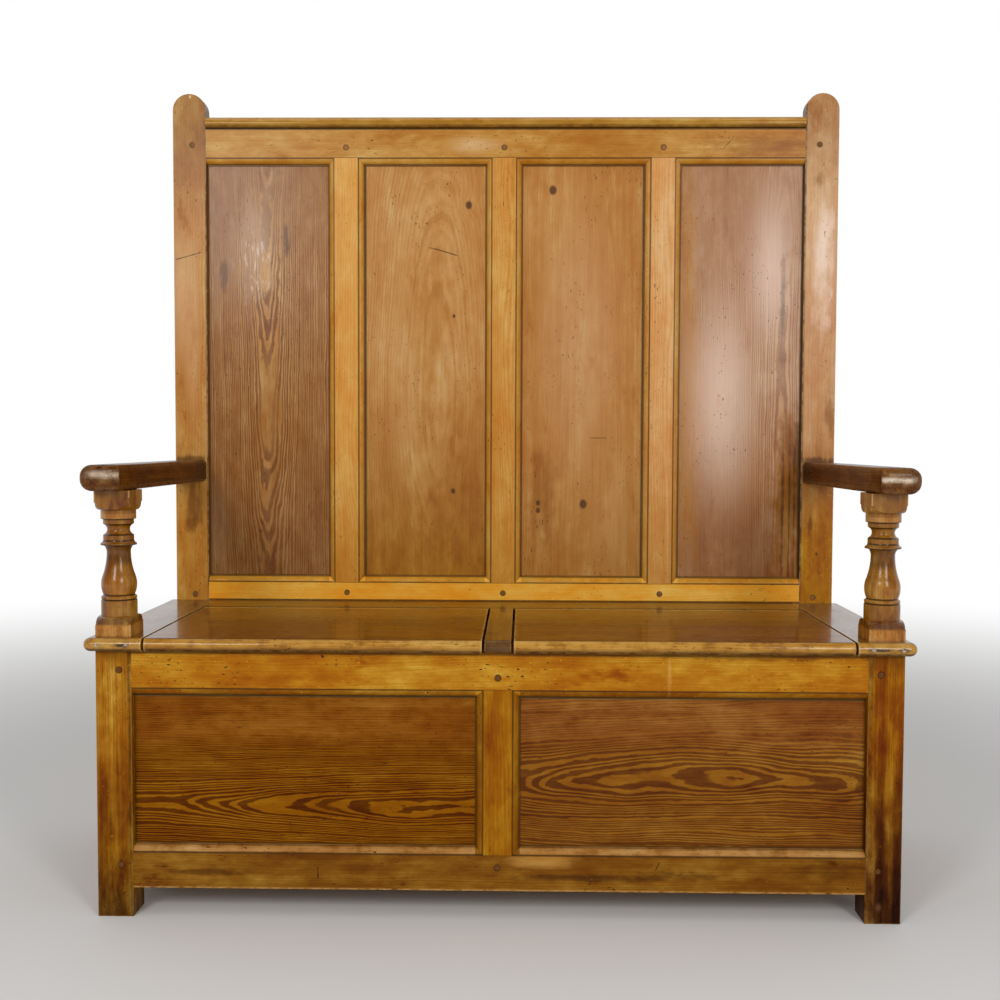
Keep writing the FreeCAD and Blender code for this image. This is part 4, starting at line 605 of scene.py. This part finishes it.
BOARDS = {
    # The back
    "back_panel_1": dict(
        cut="upright", early=rgb(0.50, 0.232, 0.066), late=rgb(0.235, 0.092, 0.028),
        heart=(-0.464, 0.064), lean=-0.036, pitch=0.0033, contrast=1.1, wander=1.5, calm=0.55,
        quiet=(1.10, 1.22),
        fades=[(0.90, 0.50, rgb(0.205, 0.074, 0.0085), 0.55)], torn=(1.125, -0.480, 0.10, 0.050),
        # The first patch is a pale worn patch that also paints the sheen on it
        patches=[(1.15, -0.490, 0.11, 0.045, rgb(0.58, 0.36, 0.22), 0.5),
                 (1.10, -0.470, 0.045, 0.018, rgb(0.58, 0.31, 0.11), 0.8),
                 (0.86, -0.465, 0.10, 0.022, rgb(0.42, 0.195, 0.050), 0.6),
                 (0.60, -0.570, 0.10, 0.018, rgb(0.36, 0.180, 0.075), 0.5),
                 (1.17, -0.430, 0.05, 0.006, rgb(0.10, 0.045, 0.025), 0.7),
                 (1.10, -0.555, 0.03, 0.010, rgb(0.13, 0.055, 0.022), 0.6)],
        lines=panel_lines("upright", BACK_GAPS[0], BACK_LOW, BACK_TOP),
        rough=0.30, coat=0.2, coat_rough=0.20, relief=4.5, seed=1.3),
    "back_panel_2": dict(
        cut="upright", early=rgb(0.57, 0.275, 0.080), late=rgb(0.45, 0.195, 0.046),
        heart=(-0.126, 0.060), lean=0.02, bow=(0.20, 0.95), pitch=0.0045, contrast=0.5,
        streak=0.6, blotch=1.2,
        fades=[(0.95, 0.50, rgb(0.34, 0.120, 0.001), 0.85)],
        patches=[(0.98, -0.150, 0.16, 0.040, rgb(0.46, 0.195, 0.034), 0.4),
                 (0.90, -0.200, 0.20, 0.030, rgb(0.60, 0.315, 0.110), 0.4)],
        knots=[(1.239, -0.0695, 0.0065), (1.022, -0.0986, 0.0028), (0.676, -0.100, 0.0040)],
        scratches=[(1.1572, -0.1502, 1.1396, -0.089, 0.0020, 0.7)],
        lines=panel_lines("upright", BACK_GAPS[1], BACK_LOW, BACK_TOP, "left"), seed=2.1),
    "back_panel_3": dict(
        cut="upright", early=rgb(0.51, 0.222, 0.054), late=rgb(0.40, 0.160, 0.030),
        heart=(0.19, 0.07), lean=0.02, pitch=0.0045, contrast=0.3, streak=0.8, blotch=1.2,
        fades=[(0.80, 0.50, rgb(0.37, 0.150, 0.014), 0.5)],
        patches=[(0.98, 0.150, 0.30, 0.090, rgb(0.63, 0.345, 0.150), 0.7, "even"),
                 (0.65, 0.080, 0.10, 0.030, rgb(0.27, 0.095, 0.012), 0.35),
                 (0.66, 0.210, 0.16, 0.045, rgb(0.54, 0.265, 0.080), 0.6)],
        knots=[(1.268, 0.0955, 0.0070), (0.651, 0.1585, 0.0070), (0.653, 0.0691, 0.0045),
               (0.638, 0.0691, 0.0045)],
        scratches=[(0.7822, 0.1714, 0.7823, 0.2051, 0.0012, 0.8)],
        lines=panel_lines("upright", BACK_GAPS[2], BACK_LOW, BACK_TOP, "right"), seed=3.4),
    "back_panel_4": dict(
        cut="upright", early=rgb(0.54, 0.285, 0.135), late=rgb(0.35, 0.155, 0.070),
        heart=(0.547, 0.022), lean=0.015, pitch=0.0030, contrast=1.0, wander=1.1, calm=0.4,
        quiet=(1.04, 1.16),
        fades=[(0.88, 0.52, rgb(0.31, 0.120, 0.030), 0.6)],
        patches=[(0.95, 0.362, 0.45, 0.026, rgb(0.50, 0.225, 0.045), 0.7),
                 (1.28, 0.440, 0.06, 0.100, rgb(0.42, 0.205, 0.085), 0.6),
                 # The next two patches are painted sheen across the panel
                 (0.86, 0.430, 0.22, 0.075, rgb(0.80, 0.55, 0.41), 0.9, "even"),
                 (1.11, 0.525, 0.17, 0.050, rgb(0.76, 0.52, 0.40), 0.8, "even"),
                 (1.04, 0.548, 0.15, 0.009, rgb(0.16, 0.075, 0.055), 0.7),
                 (0.64, 0.565, 0.20, 0.032, rgb(0.33, 0.115, 0.006), 0.95),
                 (0.73, 0.582, 0.10, 0.010, rgb(0.150, 0.050, 0.004), 0.6),
                 (0.62, 0.553, 0.16, 0.0035, rgb(0.070, 0.022, 0.003), 0.7),
                 (0.58, 0.566, 0.16, 0.0025, rgb(0.070, 0.022, 0.003), 0.7),
                 (0.62, 0.576, 0.14, 0.0020, rgb(0.070, 0.022, 0.003), 0.6)],
        lines=panel_lines("upright", BACK_GAPS[3], BACK_LOW, BACK_TOP, "right"), pits=0.8,
        rough=0.32, coat=0.22, coat_rough=0.26, relief=2.2, seed=4.8),
    "back_post_left": dict(
        cut="upright", early=rgb(0.57, 0.268, 0.064), late=rgb(0.47, 0.205, 0.040),
        blotch=1.9, heart=(-0.55, 0.10), coat=0.12, calm=0.5,
        fades=[(1.14, 1.38, rgb(0.33, 0.130, 0.016), 0.85),
               (0.90, 0.55, rgb(0.53, 0.230, 0.024), 0.8)],
        patches=[(0.640, -0.612, 0.05, 0.016, rgb(0.20, 0.080, 0.012), 0.6),
                 (0.738, -0.610, 0.008, 0.040, rgb(0.14, 0.050, 0.006), 0.8),
                 (1.446, -0.6156, 0.004, 0.003, rgb(0.80, 0.55, 0.30), 0.9),
                 # Painted glare on the post
                 (1.06, -0.636, 0.13, 0.020, rgb(0.76, 0.48, 0.25), 0.55, "even"),
                 (1.02, -0.615, 0.16, 0.014, rgb(0.66, 0.37, 0.16), 0.6)],
        lines=[("along", -0.5865, 0.0022, 0.8, DIRT)],
        scratches=[(1.1294, -0.6487, 1.1451, -0.5934, 0.0014, 0.9)], stain=0.45,
        worn=(rgb(0.60, 0.36, 0.16), 0.0030, 0.6), ticks=0.3),
    "back_post_right": dict(
        cut="upright", early=rgb(0.62, 0.320, 0.130), late=rgb(0.52, 0.250, 0.095),
        blotch=1.9, heart=(0.55, 0.10), coat=0.12, calm=0.5,
        fades=[(1.22, 1.40, rgb(0.40, 0.185, 0.055), 0.7),
               (0.86, 0.58, rgb(0.40, 0.135, 0.0005), 1.0)],
        knots=[(0.5552, 0.6185, 0.0026)],
        # Painted sheen on the upper post
        patches=[(1.16, 0.622, 0.13, 0.022, rgb(0.90, 0.66, 0.50), 0.8),
                 (0.738, 0.610, 0.008, 0.040, rgb(0.14, 0.050, 0.006), 0.8),
                 (1.285, 0.612, 0.022, 0.014, rgb(0.25, 0.100, 0.016), 0.8),
                 (0.84, 0.640, 0.05, 0.008, rgb(0.30, 0.125, 0.030), 0.6),
                 # Darker below the arm: a smudge and a painted shadow of the arm
                 (0.615, 0.605, 0.025, 0.005, rgb(0.16, 0.045, 0.001), 0.7)],
        lines=[("along", 0.5865, 0.0026, 0.8)],
        stain=0.5, worn=(rgb(0.66, 0.42, 0.22), 0.0030, 0.6), ticks=0.3),
    "back_muntin_left": back_muntin(
        BACK_MUNTINS[0], rgb(0.75, 0.370, 0.076), rgb(0.63, 0.290, 0.052)),
    "back_muntin_centre": back_muntin(
        BACK_MUNTINS[1], rgb(0.65, 0.290, 0.049), rgb(0.55, 0.225, 0.034)),
    "back_muntin_right": back_muntin(
        BACK_MUNTINS[2], rgb(0.75, 0.380, 0.130), rgb(0.63, 0.300, 0.092)),
    "back_top_rail": dict(
        cut="level", early=rgb(0.54, 0.242, 0.040), late=rgb(0.46, 0.195, 0.027),
        blotch=1.9, calm=0.5, heart=(1.45, 0.05), coat=0.12, ticks=0.4,
        # The first patch is a pale worn patch that also paints a sheen
        patches=[(-0.06, 1.352, 0.06, 0.020, rgb(0.70, 0.42, 0.19), 0.6),
                 (0.48, 1.350, 0.12, 0.018, rgb(0.36, 0.150, 0.024), 0.6)],
        scratches=[(0.4252, 1.3445, 0.4462, 1.3675, 0.0010, 0.8)],
        bands=rail_moulding(1.3283, BACK_TOP, DARK_OCHRE, BACK_GAPS),
        lines=[("along", 1.3275, 0.0018, 0.75, DIRT),
               ("along", 1.3158, 0.0022, 0.75, DIRT),
               ("along", 1.3832, 0.0022, 0.8, DIRT)]),
    "top_capping": dict(
        cut="level", early=rgb(0.46, 0.220, 0.020), late=rgb(0.37, 0.160, 0.012),
        heart=(1.50, 0.05), coat=0.25,
        coat_rough=0.15, shine=0.08, lines=[("along", 1.3850, 0.0022, 0.8)],
        # Painted shade on the underside of the half-round capping, and a painted highlight along
        # its top
        bands=[(rgb(0.155, 0.066, 0.008), 0.85, ("z", 1.380, 1.3910, 0.0030)),
               (rgb(0.66, 0.38, 0.130), 0.7, ("z", 1.3990, 1.4040, 0.0015))]),
    "back_bottom_rail": dict(
        # Its colours are lightened to paint the light that the polished seat throws onto the rail
        cut="level", early=rgb(0.95, 0.450, 0.045), late=rgb(0.83, 0.370, 0.030),
        blotch=2.0, calm=0.5, heart=(0.42, 0.05), ticks=0.3,
        bands=rail_moulding(0.4938, BACK_LOW, DARK_OCHRE, BACK_GAPS),
        lines=[("along", 0.4945, 0.0018, 0.75, DIRT),
               ("along", 0.5062, 0.0022, 0.75, DIRT),
               ("along", 0.4590, 0.0022, 0.85)]),

    # The front of the box
    "front_panel_left": dict(
        cut="level", early=rgb(0.280, 0.098, 0.0016), late=rgb(0.104, 0.024, 0.0004),
        heart=(0.182, 0.034), lean=-0.030, pitch=0.0023, contrast=1.35, wander=1.1, blotch=1.1,
        shine=0.02, calm=0.75,
        bands=[(rgb(0.265, 0.080, 0.006), 0.6, ("z", 0.285, 0.37, 0.02))],
        lines=panel_lines("level", BASE_GAPS[0], BASE_LOW, BASE_TOP, "high"), rough=0.36,
        coat=0.05, seed=5.2),
    "front_panel_right": dict(
        cut="level", early=rgb(0.278, 0.102, 0.0050), late=rgb(0.125, 0.033, 0.0018),
        heart=(0.232, 0.046), lean=-0.010, bow=(0.10, 0.36), pitch=0.0038, contrast=1.3,
        wander=1.1, waver=2.0, calm=0.65, blotch=1.2, shine=0.05,
        bands=[(rgb(0.265, 0.082, 0.012), 0.6, ("z", 0.285, 0.37, 0.02))],
        lines=panel_lines("level", BASE_GAPS[1], BASE_LOW, BASE_TOP, "high"), rough=0.36,
        coat=0.1, seed=6.6),
    "front_leg_left": front_leg(
        -1, rgb(0.40, 0.162, 0.0085), rgb(0.31, 0.116, 0.0050), rgb(0.230, 0.080, 0.0012)),
    "front_leg_right": front_leg(
        1, rgb(0.29, 0.091, 0.0010), rgb(0.23, 0.067, 0.0008), rgb(0.060, 0.012, 0.0003)),
    "front_muntin": dict(
        cut="upright", early=rgb(0.365, 0.136, 0.0028), late=rgb(0.290, 0.100, 0.0010),
        heart=(0.05, 0.08), streak=1.0, blotch=1.8,
        bands=upright_moulding(0.0, rgb(0.24, 0.088, 0.0020)), lines=quirks(0.0),
        pits=0.8, shine=0.05, coat=0.04, calm=0.5),
    "front_top_rail": dict(
        cut="level", early=rgb(0.47, 0.182, 0.0060), late=rgb(0.385, 0.142, 0.0036),
        heart=(0.47, 0.05), pits=1.0, ticks=0.6,
        stain=0.75, blotch=2.3, shine=0.06, coat=0.05, calm=0.5,
        bands=rail_moulding(0.3758, BASE_TOP, rgb(0.19, 0.067, 0.002), BASE_GAPS),
        patches=[(0.275, 0.405, 0.004, 0.030, rgb(0.62, 0.32, 0.07), 0.5),
                 (0.40, 0.430, 0.16, 0.006, rgb(0.16, 0.055, 0.003), 0.5)],
        lines=[("along", 0.3750, 0.0020, 0.8, DIRT),
               ("along", 0.3633, 0.0024, 0.8, DIRT),
               ("along", 0.4340, 0.0040, 0.6)]),
    "front_bottom_rail": dict(
        cut="level", early=rgb(0.235, 0.088, 0.0046), late=rgb(0.180, 0.062, 0.0024),
        heart=(0.0, 0.05), stain=1.0, pits=1.0,
        ticks=0.4, blotch=1.7, shine=0.06, coat=0.05, calm=0.5,
        bands=rail_moulding(0.1058, BASE_LOW, rgb(0.51, 0.245, 0.066), BASE_GAPS),
        lines=[("along", 0.1066, 0.0020, 0.85, DIRT), ("along", 0.1182, 0.0022, 0.5)],
        patches=[(0.0694, 0.0972, 0.05, 0.012, rgb(0.52, 0.27, 0.06), 0.8),
                 (-0.47, 0.074, 0.07, 0.008, rgb(0.08, 0.026, 0.002), 0.6),
                 (0.15, 0.070, 0.14, 0.006, rgb(0.07, 0.026, 0.004), 0.6),
                 (0.30, 0.076, 0.10, 0.010, rgb(0.09, 0.030, 0.002), 0.6),
                 (0.53, 0.090, 0.05, 0.020, rgb(0.13, 0.050, 0.002), 0.5)],
        scratches=[(-0.291, 0.066, -0.2905, 0.085, 0.0016, 0.95),
                   (0.255, 0.084, 0.262, 0.098, 0.0014, 0.8)],
        worn=(rgb(0.50, 0.27, 0.08), 0.0040, 0.9), rough=0.42),

    # The seat and what carries the arms
    "seat_end_left": seat_end(-1),
    "seat_end_right": seat_end(1),
    "seat_divider": dict(
        cut="seat end", early=rgb(0.165, 0.060, 0.0008), late=rgb(0.120, 0.040, 0.0005),
        heart=(0.01, 0.07), rough=0.30, coat=0.5,
        coat_rough=0.10, relief=0.30, blotch=1.0,
        bands=[(rgb(0.12, 0.056, 0.016), 0.9, ("y", -1, -0.240, 0.003))],
        worn=(rgb(0.30, 0.15, 0.05), 0.0030, 0.7)),
    "seat_back_strip": dict(
        cut="lid", early=rgb(0.190, 0.069, 0.0005), late=rgb(0.148, 0.051, 0.0004),
        heart=(0.0, 0.07), lean=0.01, rough=0.30,
        coat=0.38, coat_rough=0.10, shine=0.05, relief=0.30,
        bands=[(rgb(0.03, 0.010, 0.0006), 0.8, ("y", 0, 0.150, 0.003))]),
    "lid_left": lid("lid_left"),
    "lid_right": lid("lid_right"),
    "arm_support_left": arm_support(-1, rgb(0.310, 0.125, 0.009), rgb(0.220, 0.080, 0.0045)),
    "arm_support_right": arm_support(1, rgb(0.275, 0.104, 0.005), rgb(0.200, 0.070, 0.0030)),
}


def side_or_rear(name):
    """The framing and the panels of the box's sides and rear."""
    cut = "side level" if name.startswith("side") else "level"
    if "panel" in name:
        return dict(cut=cut, early=rgb(0.290, 0.112, 0.0095), late=rgb(0.132, 0.034, 0.0020),
                    heart=(0.20, 0.03), lean=0.03, pitch=0.0026, contrast=1.0)
    low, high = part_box(name)
    return dict(cut="upright" if "muntin" in name else cut, early=rgb(0.35, 0.135, 0.0070),
                late=rgb(0.27, 0.098, 0.0040), heart=(float(low[2] + high[2]) / 2, 0.05),
                rough=0.42, pits=0.8)


# The middles of the pegs: x and z on the front and the back, y and z on the sides
FRONT_PEGS = ([(x, z) for x in (-0.612, 0.612) for z in (0.086, 0.4045)]
              + [(0.0, 0.086), (0.0, 0.3955)])
BACK_PEGS = ([(x, z) for x in (-0.6125, 0.6125) for z in (0.077, 0.469, 1.353)]
             + [(x, z) for x in BACK_MUNTINS for z in (0.474, 1.348)])
SIDE_PEGS = [(y, z) for y in (-0.1895, 0.2535) for z in (0.086, 0.4045)]


def peg_rims(name):
    """Where pegs come through a board: the axis they run along and their middles."""
    low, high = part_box(name)
    pegs = BACK_PEGS if low[1] > 0 else FRONT_PEGS
    rims = [("y", x, z) for x, z in pegs if low[0] < x < high[0] and low[2] < z < high[2]]
    if "_post" in name or "_leg" in name:
        rims += [("x", y, z) for y, z in SIDE_PEGS if low[1] < y < high[1]]
    return rims


def seed_of(name):
    """A number that differs from piece to piece, from the letters of its name."""
    return (sum(map(ord, name)) * 0.37) % 7


def board_wood(name):
    """The wood of a board that shows from outside."""
    board = {"seed": seed_of(name), **(BOARDS.get(name) or side_or_rear(name))}
    if name.startswith(("back_", "front_")) and "panel" not in name:
        board["rims"] = peg_rims(name)
    return wood(name, **board)


def inside_wood(name):
    """The bare wood inside the box, one for the ledgers and one for the other boards."""
    cut = "lid" if "ledger" in name else "seat end"
    shared = "inside_" + cut.replace(" ", "_")
    if shared not in bpy.data.materials:
        low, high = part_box(name)
        wood(name, cut, rgb(0.46, 0.290, 0.150), rgb(0.31, 0.175, 0.080),
             heart=(float(low[0] + high[0]) / 2 + 0.02, 0.05), lean=0.02, contrast=0.9, rough=0.65,
             coat=0.0, relief=1.2, seed=seed_of(name)).name = shared
    return bpy.data.materials[shared]


# The metals and the pegs

brass = metal("brass", rgb(0.42, 0.30, 0.12), rgb(0.10, 0.065, 0.025), 0.32)
steel = metal("steel", rgb(0.30, 0.29, 0.27), rgb(0.05, 0.035, 0.025), 0.35)
iron = metal("iron", rgb(0.55, 0.46, 0.36), rgb(0.10, 0.075, 0.055), 0.35)
peg_ends = end_grain("peg", rgb(0.36, 0.165, 0.055), rgb(0.14, 0.055, 0.014),
                     rgb(0.110, 0.032, 0.0035), 0.45)
FITTINGS = {
    "hinge_frame_leaves": brass,
    "hinge_lid_leaves_left": brass,
    "hinge_lid_leaves_right": brass,
    "hinge_pins": steel,
    "hinge_frame_screws": steel,
    "hinge_lid_screws_left": steel,
    "hinge_lid_screws_right": steel,
    "seat_nails": iron,
}

# How wide the softened edges are
WOOD_EDGE = 0.0007
PEG_EDGE = 0.0003
METAL_EDGE = 0.0002

# The angles below which faces become one, above which an edge is softened, and above
# which it stays sharp in the shading
FLAT_BELOW = math.radians(0.5)
SOFT_ABOVE = math.radians(40)
SPLIT_ABOVE = math.radians(48)


def finish_piece(piece, material, edge):
    """Softens the edges of a piece and gives it its material."""
    piece.data.materials.clear()
    piece.data.materials.append(material)
    for face in piece.data.polygons:
        face.use_smooth = True
    join = piece.modifiers.new("Join", "WELD")
    join.merge_threshold = 0.00001
    flat = piece.modifiers.new("Flat", "DECIMATE")
    flat.decimate_type = "DISSOLVE"
    flat.angle_limit = FLAT_BELOW
    soft = piece.modifiers.new("Soft edges", "BEVEL")
    soft.limit_method = "ANGLE"
    soft.angle_limit = SOFT_ABOVE
    soft.width = edge
    soft.segments = 2
    soft.use_clamp_overlap = True
    split = piece.modifiers.new("Split", "EDGE_SPLIT")
    split.split_angle = SPLIT_ABOVE
    even = piece.modifiers.new("Even", "WEIGHTED_NORMAL")
    even.keep_sharp = True


INSIDE_BOARDS = ("bottom_", "divider_bearer", "lid_left_batten", "lid_right_batten")
ARMS = ("arm_left", "arm_right")

for name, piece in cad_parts.items():
    if name in FITTINGS:
        finish_piece(piece, FITTINGS[name], METAL_EDGE)
    elif name == "frame_pegs":
        finish_piece(piece, peg_ends, PEG_EDGE)
    elif name.startswith(INSIDE_BOARDS):
        finish_piece(piece, inside_wood(name), WOOD_EDGE)
    elif name not in ARMS:
        finish_piece(piece, board_wood(name), WOOD_EDGE)

# The arms, worn round at the front

ARM_WIDTH = 0.0645
ARM_BACK_Y = 0.2405
ARM_FRONT_INNER_X, ARM_BACK_INNER_X = 0.5980, 0.5895
OUTER_ROUND, INNER_ROUND = 0.0185, 0.0060
ARM_NOSE = 0.014
ARM_STRETCHES = 6
NOSE_STEPS = 7
# A painted highlight across the end of each arm
ARM_PAINTED_HIGHLIGHT = rgb(0.66, 0.52, 0.39)


def arm_wood(node, side):
    """Dark wood, with a paler band and a painted highlight across the end of the arm."""
    low, high = (0.7150, 0.7260) if side < 0 else (0.7130, 0.7205)
    return wood(
        node, cut="seat end", early=rgb(0.120, 0.031, 0.0004), late=rgb(0.072, 0.017, 0.0002),
        heart=(side * 0.60, 0.05), pitch=0.0032, contrast=1.0, streak=1.6, blotch=2.0, rough=0.30,
        coat=0.2, coat_rough=0.2, shine=0.05, relief=1.4, pits=0.9, stain=0.6,
        bands=[(rgb(0.20, 0.105, 0.035), 0.6, ("y", -1, -0.262, 0.003),
                ("z", 0.708, 0.726, 0.006), ("x", -0.656, 0.656, 0.006)),
               (ARM_PAINTED_HIGHLIGHT, 0.42 if side < 0 else 0.85, ("y", -1, -0.264, 0.001),
                ("z", low, high, 0.0030), ("x", -0.652, 0.652, 0.005)),
               (ARM_PAINTED_HIGHLIGHT, 0.6, ("y", -1, -0.264, 0.001),
                ("z", low + 0.003, high - 0.002, 0.0010), ("x", -0.645, 0.645, 0.003))],
        worn=(rgb(0.24, 0.12, 0.045), 0.012, 0.6))


def arm_sections(run, thick):
    """How far each section of an arm lies from its back end, and its width and its
    thickness there as shares of the whole."""
    sections = [(run * i / ARM_STRETCHES, 1.0, 1.0) for i in range(1, ARM_STRETCHES + 1)]
    for i in range(1, NOSE_STEPS + 1):
        angle = math.radians(90 * i / NOSE_STEPS)
        inset = ARM_NOSE * (1 - math.cos(angle))
        sections.append((run - ARM_NOSE * math.sin(angle), 1 - inset / (ARM_WIDTH / 2),
                         1 - inset / (thick / 2)))
    return sections


def worn_arm(name):
    """A splayed arm with a rounded outer side, a squarer inner side and a worn end."""
    node = "arm_" + name
    side = -1 if name == "left" else 1
    low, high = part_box(node)
    thick = float(high[2] - low[2])
    front_y = float(low[1])
    mesh = bmesh.new()
    corners = [(0, 0), (ARM_WIDTH, 0), (ARM_WIDTH, thick), (0, thick)]
    mesh.faces.new([mesh.verts.new((x, ARM_BACK_Y, z)) for x, z in corners])
    outer = [v for v in mesh.verts if v.co.x > ARM_WIDTH / 2]
    inner = [v for v in mesh.verts if v.co.x < ARM_WIDTH / 2]
    bmesh.ops.bevel(mesh, geom=outer, offset=OUTER_ROUND, affect="VERTICES", segments=8,
                    profile=0.5, material=-1)
    bmesh.ops.bevel(mesh, geom=inner, offset=INNER_ROUND, affect="VERTICES", segments=5,
                    profile=0.5, material=-1)

    end = list(mesh.faces)
    to_centre = Matrix.Translation((-ARM_WIDTH / 2, 0, -thick / 2))
    reached, wide, tall = 0.0, 1.0, 1.0
    for along, next_wide, next_tall in arm_sections(front_y + ARM_NOSE - ARM_BACK_Y, thick):
        grown = bmesh.ops.extrude_face_region(mesh, geom=end)
        end = [g for g in grown["geom"] if isinstance(g, bmesh.types.BMFace)]
        moved = [g for g in grown["geom"] if isinstance(g, bmesh.types.BMVert)]
        bmesh.ops.translate(mesh, verts=moved, vec=(0, along - reached, 0))
        bmesh.ops.scale(mesh, verts=moved, vec=(next_wide / wide, 1, next_tall / tall),
                        space=to_centre)
        reached, wide, tall = along, next_wide, next_tall

    splay = Matrix.Identity(4)
    splay[0][1] = (ARM_FRONT_INNER_X - ARM_BACK_INNER_X) / (front_y - ARM_BACK_Y)
    bmesh.ops.transform(mesh, verts=mesh.verts,
                        matrix=splay @ Matrix.Translation((0, -ARM_BACK_Y, 0)))
    bmesh.ops.translate(mesh, verts=mesh.verts,
                        vec=(ARM_BACK_INNER_X, ARM_BACK_Y, float(low[2])))
    if side < 0:
        bmesh.ops.scale(mesh, verts=mesh.verts, vec=(-1, 1, 1))
    bmesh.ops.recalc_face_normals(mesh, faces=mesh.faces)
    data = bpy.data.meshes.new("worn_arm_" + name)
    mesh.to_mesh(data)
    mesh.free()
    for face in data.polygons:
        face.use_smooth = True
    data.materials.append(arm_wood(node, side))
    piece = bpy.data.objects.new("worn_arm_" + name, data)
    bpy.context.scene.collection.objects.link(piece)
    even = piece.modifiers.new("Even", "WEIGHTED_NORMAL")
    even.keep_sharp = True
    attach(piece, "base")
    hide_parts(node)


for side_name in ("left", "right"):
    worn_arm(side_name)

# Camera, from the photograph's perspective

SENSOR = 36
IMAGE_PIXELS = 1000
FOCAL_PIXELS = 1241.2
CAMERA_PLACE = (0.0384, -2.2109, 0.7759)
# To the left, down, and about the line of sight
CAMERA_TURN = 0.0182
CAMERA_DIP = 0.0476
CAMERA_ROLL = 0.0035

lens = bpy.data.cameras.new("camera")
lens.sensor_width = SENSOR
lens.lens = FOCAL_PIXELS * SENSOR / IMAGE_PIXELS
camera = bpy.data.objects.new("camera", lens)
bpy.context.scene.collection.objects.link(camera)
camera.matrix_world = (
    Matrix.Translation(CAMERA_PLACE)
    @ Matrix.Rotation(CAMERA_TURN, 4, "Z")
    @ Matrix.Rotation(math.pi / 2 - CAMERA_DIP, 4, "X")
    @ Matrix.Rotation(CAMERA_ROLL, 4, "Z")
)
bpy.context.scene.camera = camera

# Floor, surroundings and lamps

# How bright the surroundings are as light, where white is 1, and how much darker the
# side in front of the settle is in reflections
SURROUNDINGS = 0.48
DARKER_IN_FRONT = 0.78


def seen_directly(s):
    """1 for what the camera sees, straight or through gloss and glass."""
    rays = s.add("LightPath").socket.node.outputs
    names = ("Is Camera Ray", "Is Glossy Ray", "Is Transmission Ray")
    camera_ray, glossy, through = (Shade(s.tree, rays[name]) for name in names)
    return camera_ray.most(glossy).most(through)


def pale_floor():
    """A pale floor that takes the settle's shadow, and turns white far away from it."""
    ground = bmesh.new()
    bmesh.ops.create_circle(ground, cap_ends=True, segments=96, radius=30)
    data = bpy.data.meshes.new("floor")
    ground.to_mesh(data)
    ground.free()
    floor = bpy.data.objects.new("floor", data)
    bpy.context.scene.collection.objects.link(floor)
    look, s = new_material("floor")
    x, y, z = object_axes(s)
    plain = s.add("BsdfDiffuse", None, {"Color": rgb(0.86, 0.85, 0.835)})
    white = s.add("Emission", None, {"Color": rgb(1, 1, 1), "Strength": 1.0})
    far_off = distance(x, y).ramp(1.3, 4.5)
    blend = s.add("MixShader", None, {0: far_off * seen_directly(s), 1: plain, 2: white})
    s.add("OutputMaterial", None, {"Surface": blend})
    data.materials.append(look)


def surroundings():
    """White where they are seen, and dimmer as light."""
    world = bpy.data.worlds.new("surroundings")
    bpy.context.scene.world = world
    world.use_nodes = True
    world.node_tree.nodes.clear()
    s = Shade(world.node_tree)
    direction = s.add("TexCoord")
    y = Shade(s.tree, s.add("SeparateXYZ", None, {0: direction}).socket.node.outputs[1])
    glossy = Shade(s.tree, s.add("LightPath").socket.node.outputs["Is Glossy Ray"])
    darker = glossy * y.ramp(-0.25, 0.25, DARKER_IN_FRONT, 0.0)
    strength = SURROUNDINGS + seen_directly(s) * (1 - SURROUNDINGS) - darker
    background = s.add("Background", None, {"Color": rgb(1, 1, 1), "Strength": strength})
    s.add("OutputWorld", None, {"Surface": background})


def lamp(name, place, target, size, power):
    light = bpy.data.lights.new(name, "AREA")
    light.shape = "RECTANGLE"
    light.size, light.size_y = size
    light.energy = power
    item = bpy.data.objects.new(name, light)
    bpy.context.scene.collection.objects.link(item)
    item.location = place
    item.rotation_euler = (Vector(target) - Vector(place)).to_track_quat("-Z", "Y").to_euler()


pale_floor()
surroundings()
lamp("soft_box_left", (-1.35, -2.9, 1.85), (0, 0.1, 0.8), (0.7, 0.9), 27)
lamp("soft_box_right", (1.35, -2.9, 1.55), (0, 0.1, 0.8), (0.6, 1.1), 27)

bpy.context.scene.view_settings.view_transform = "Standard"
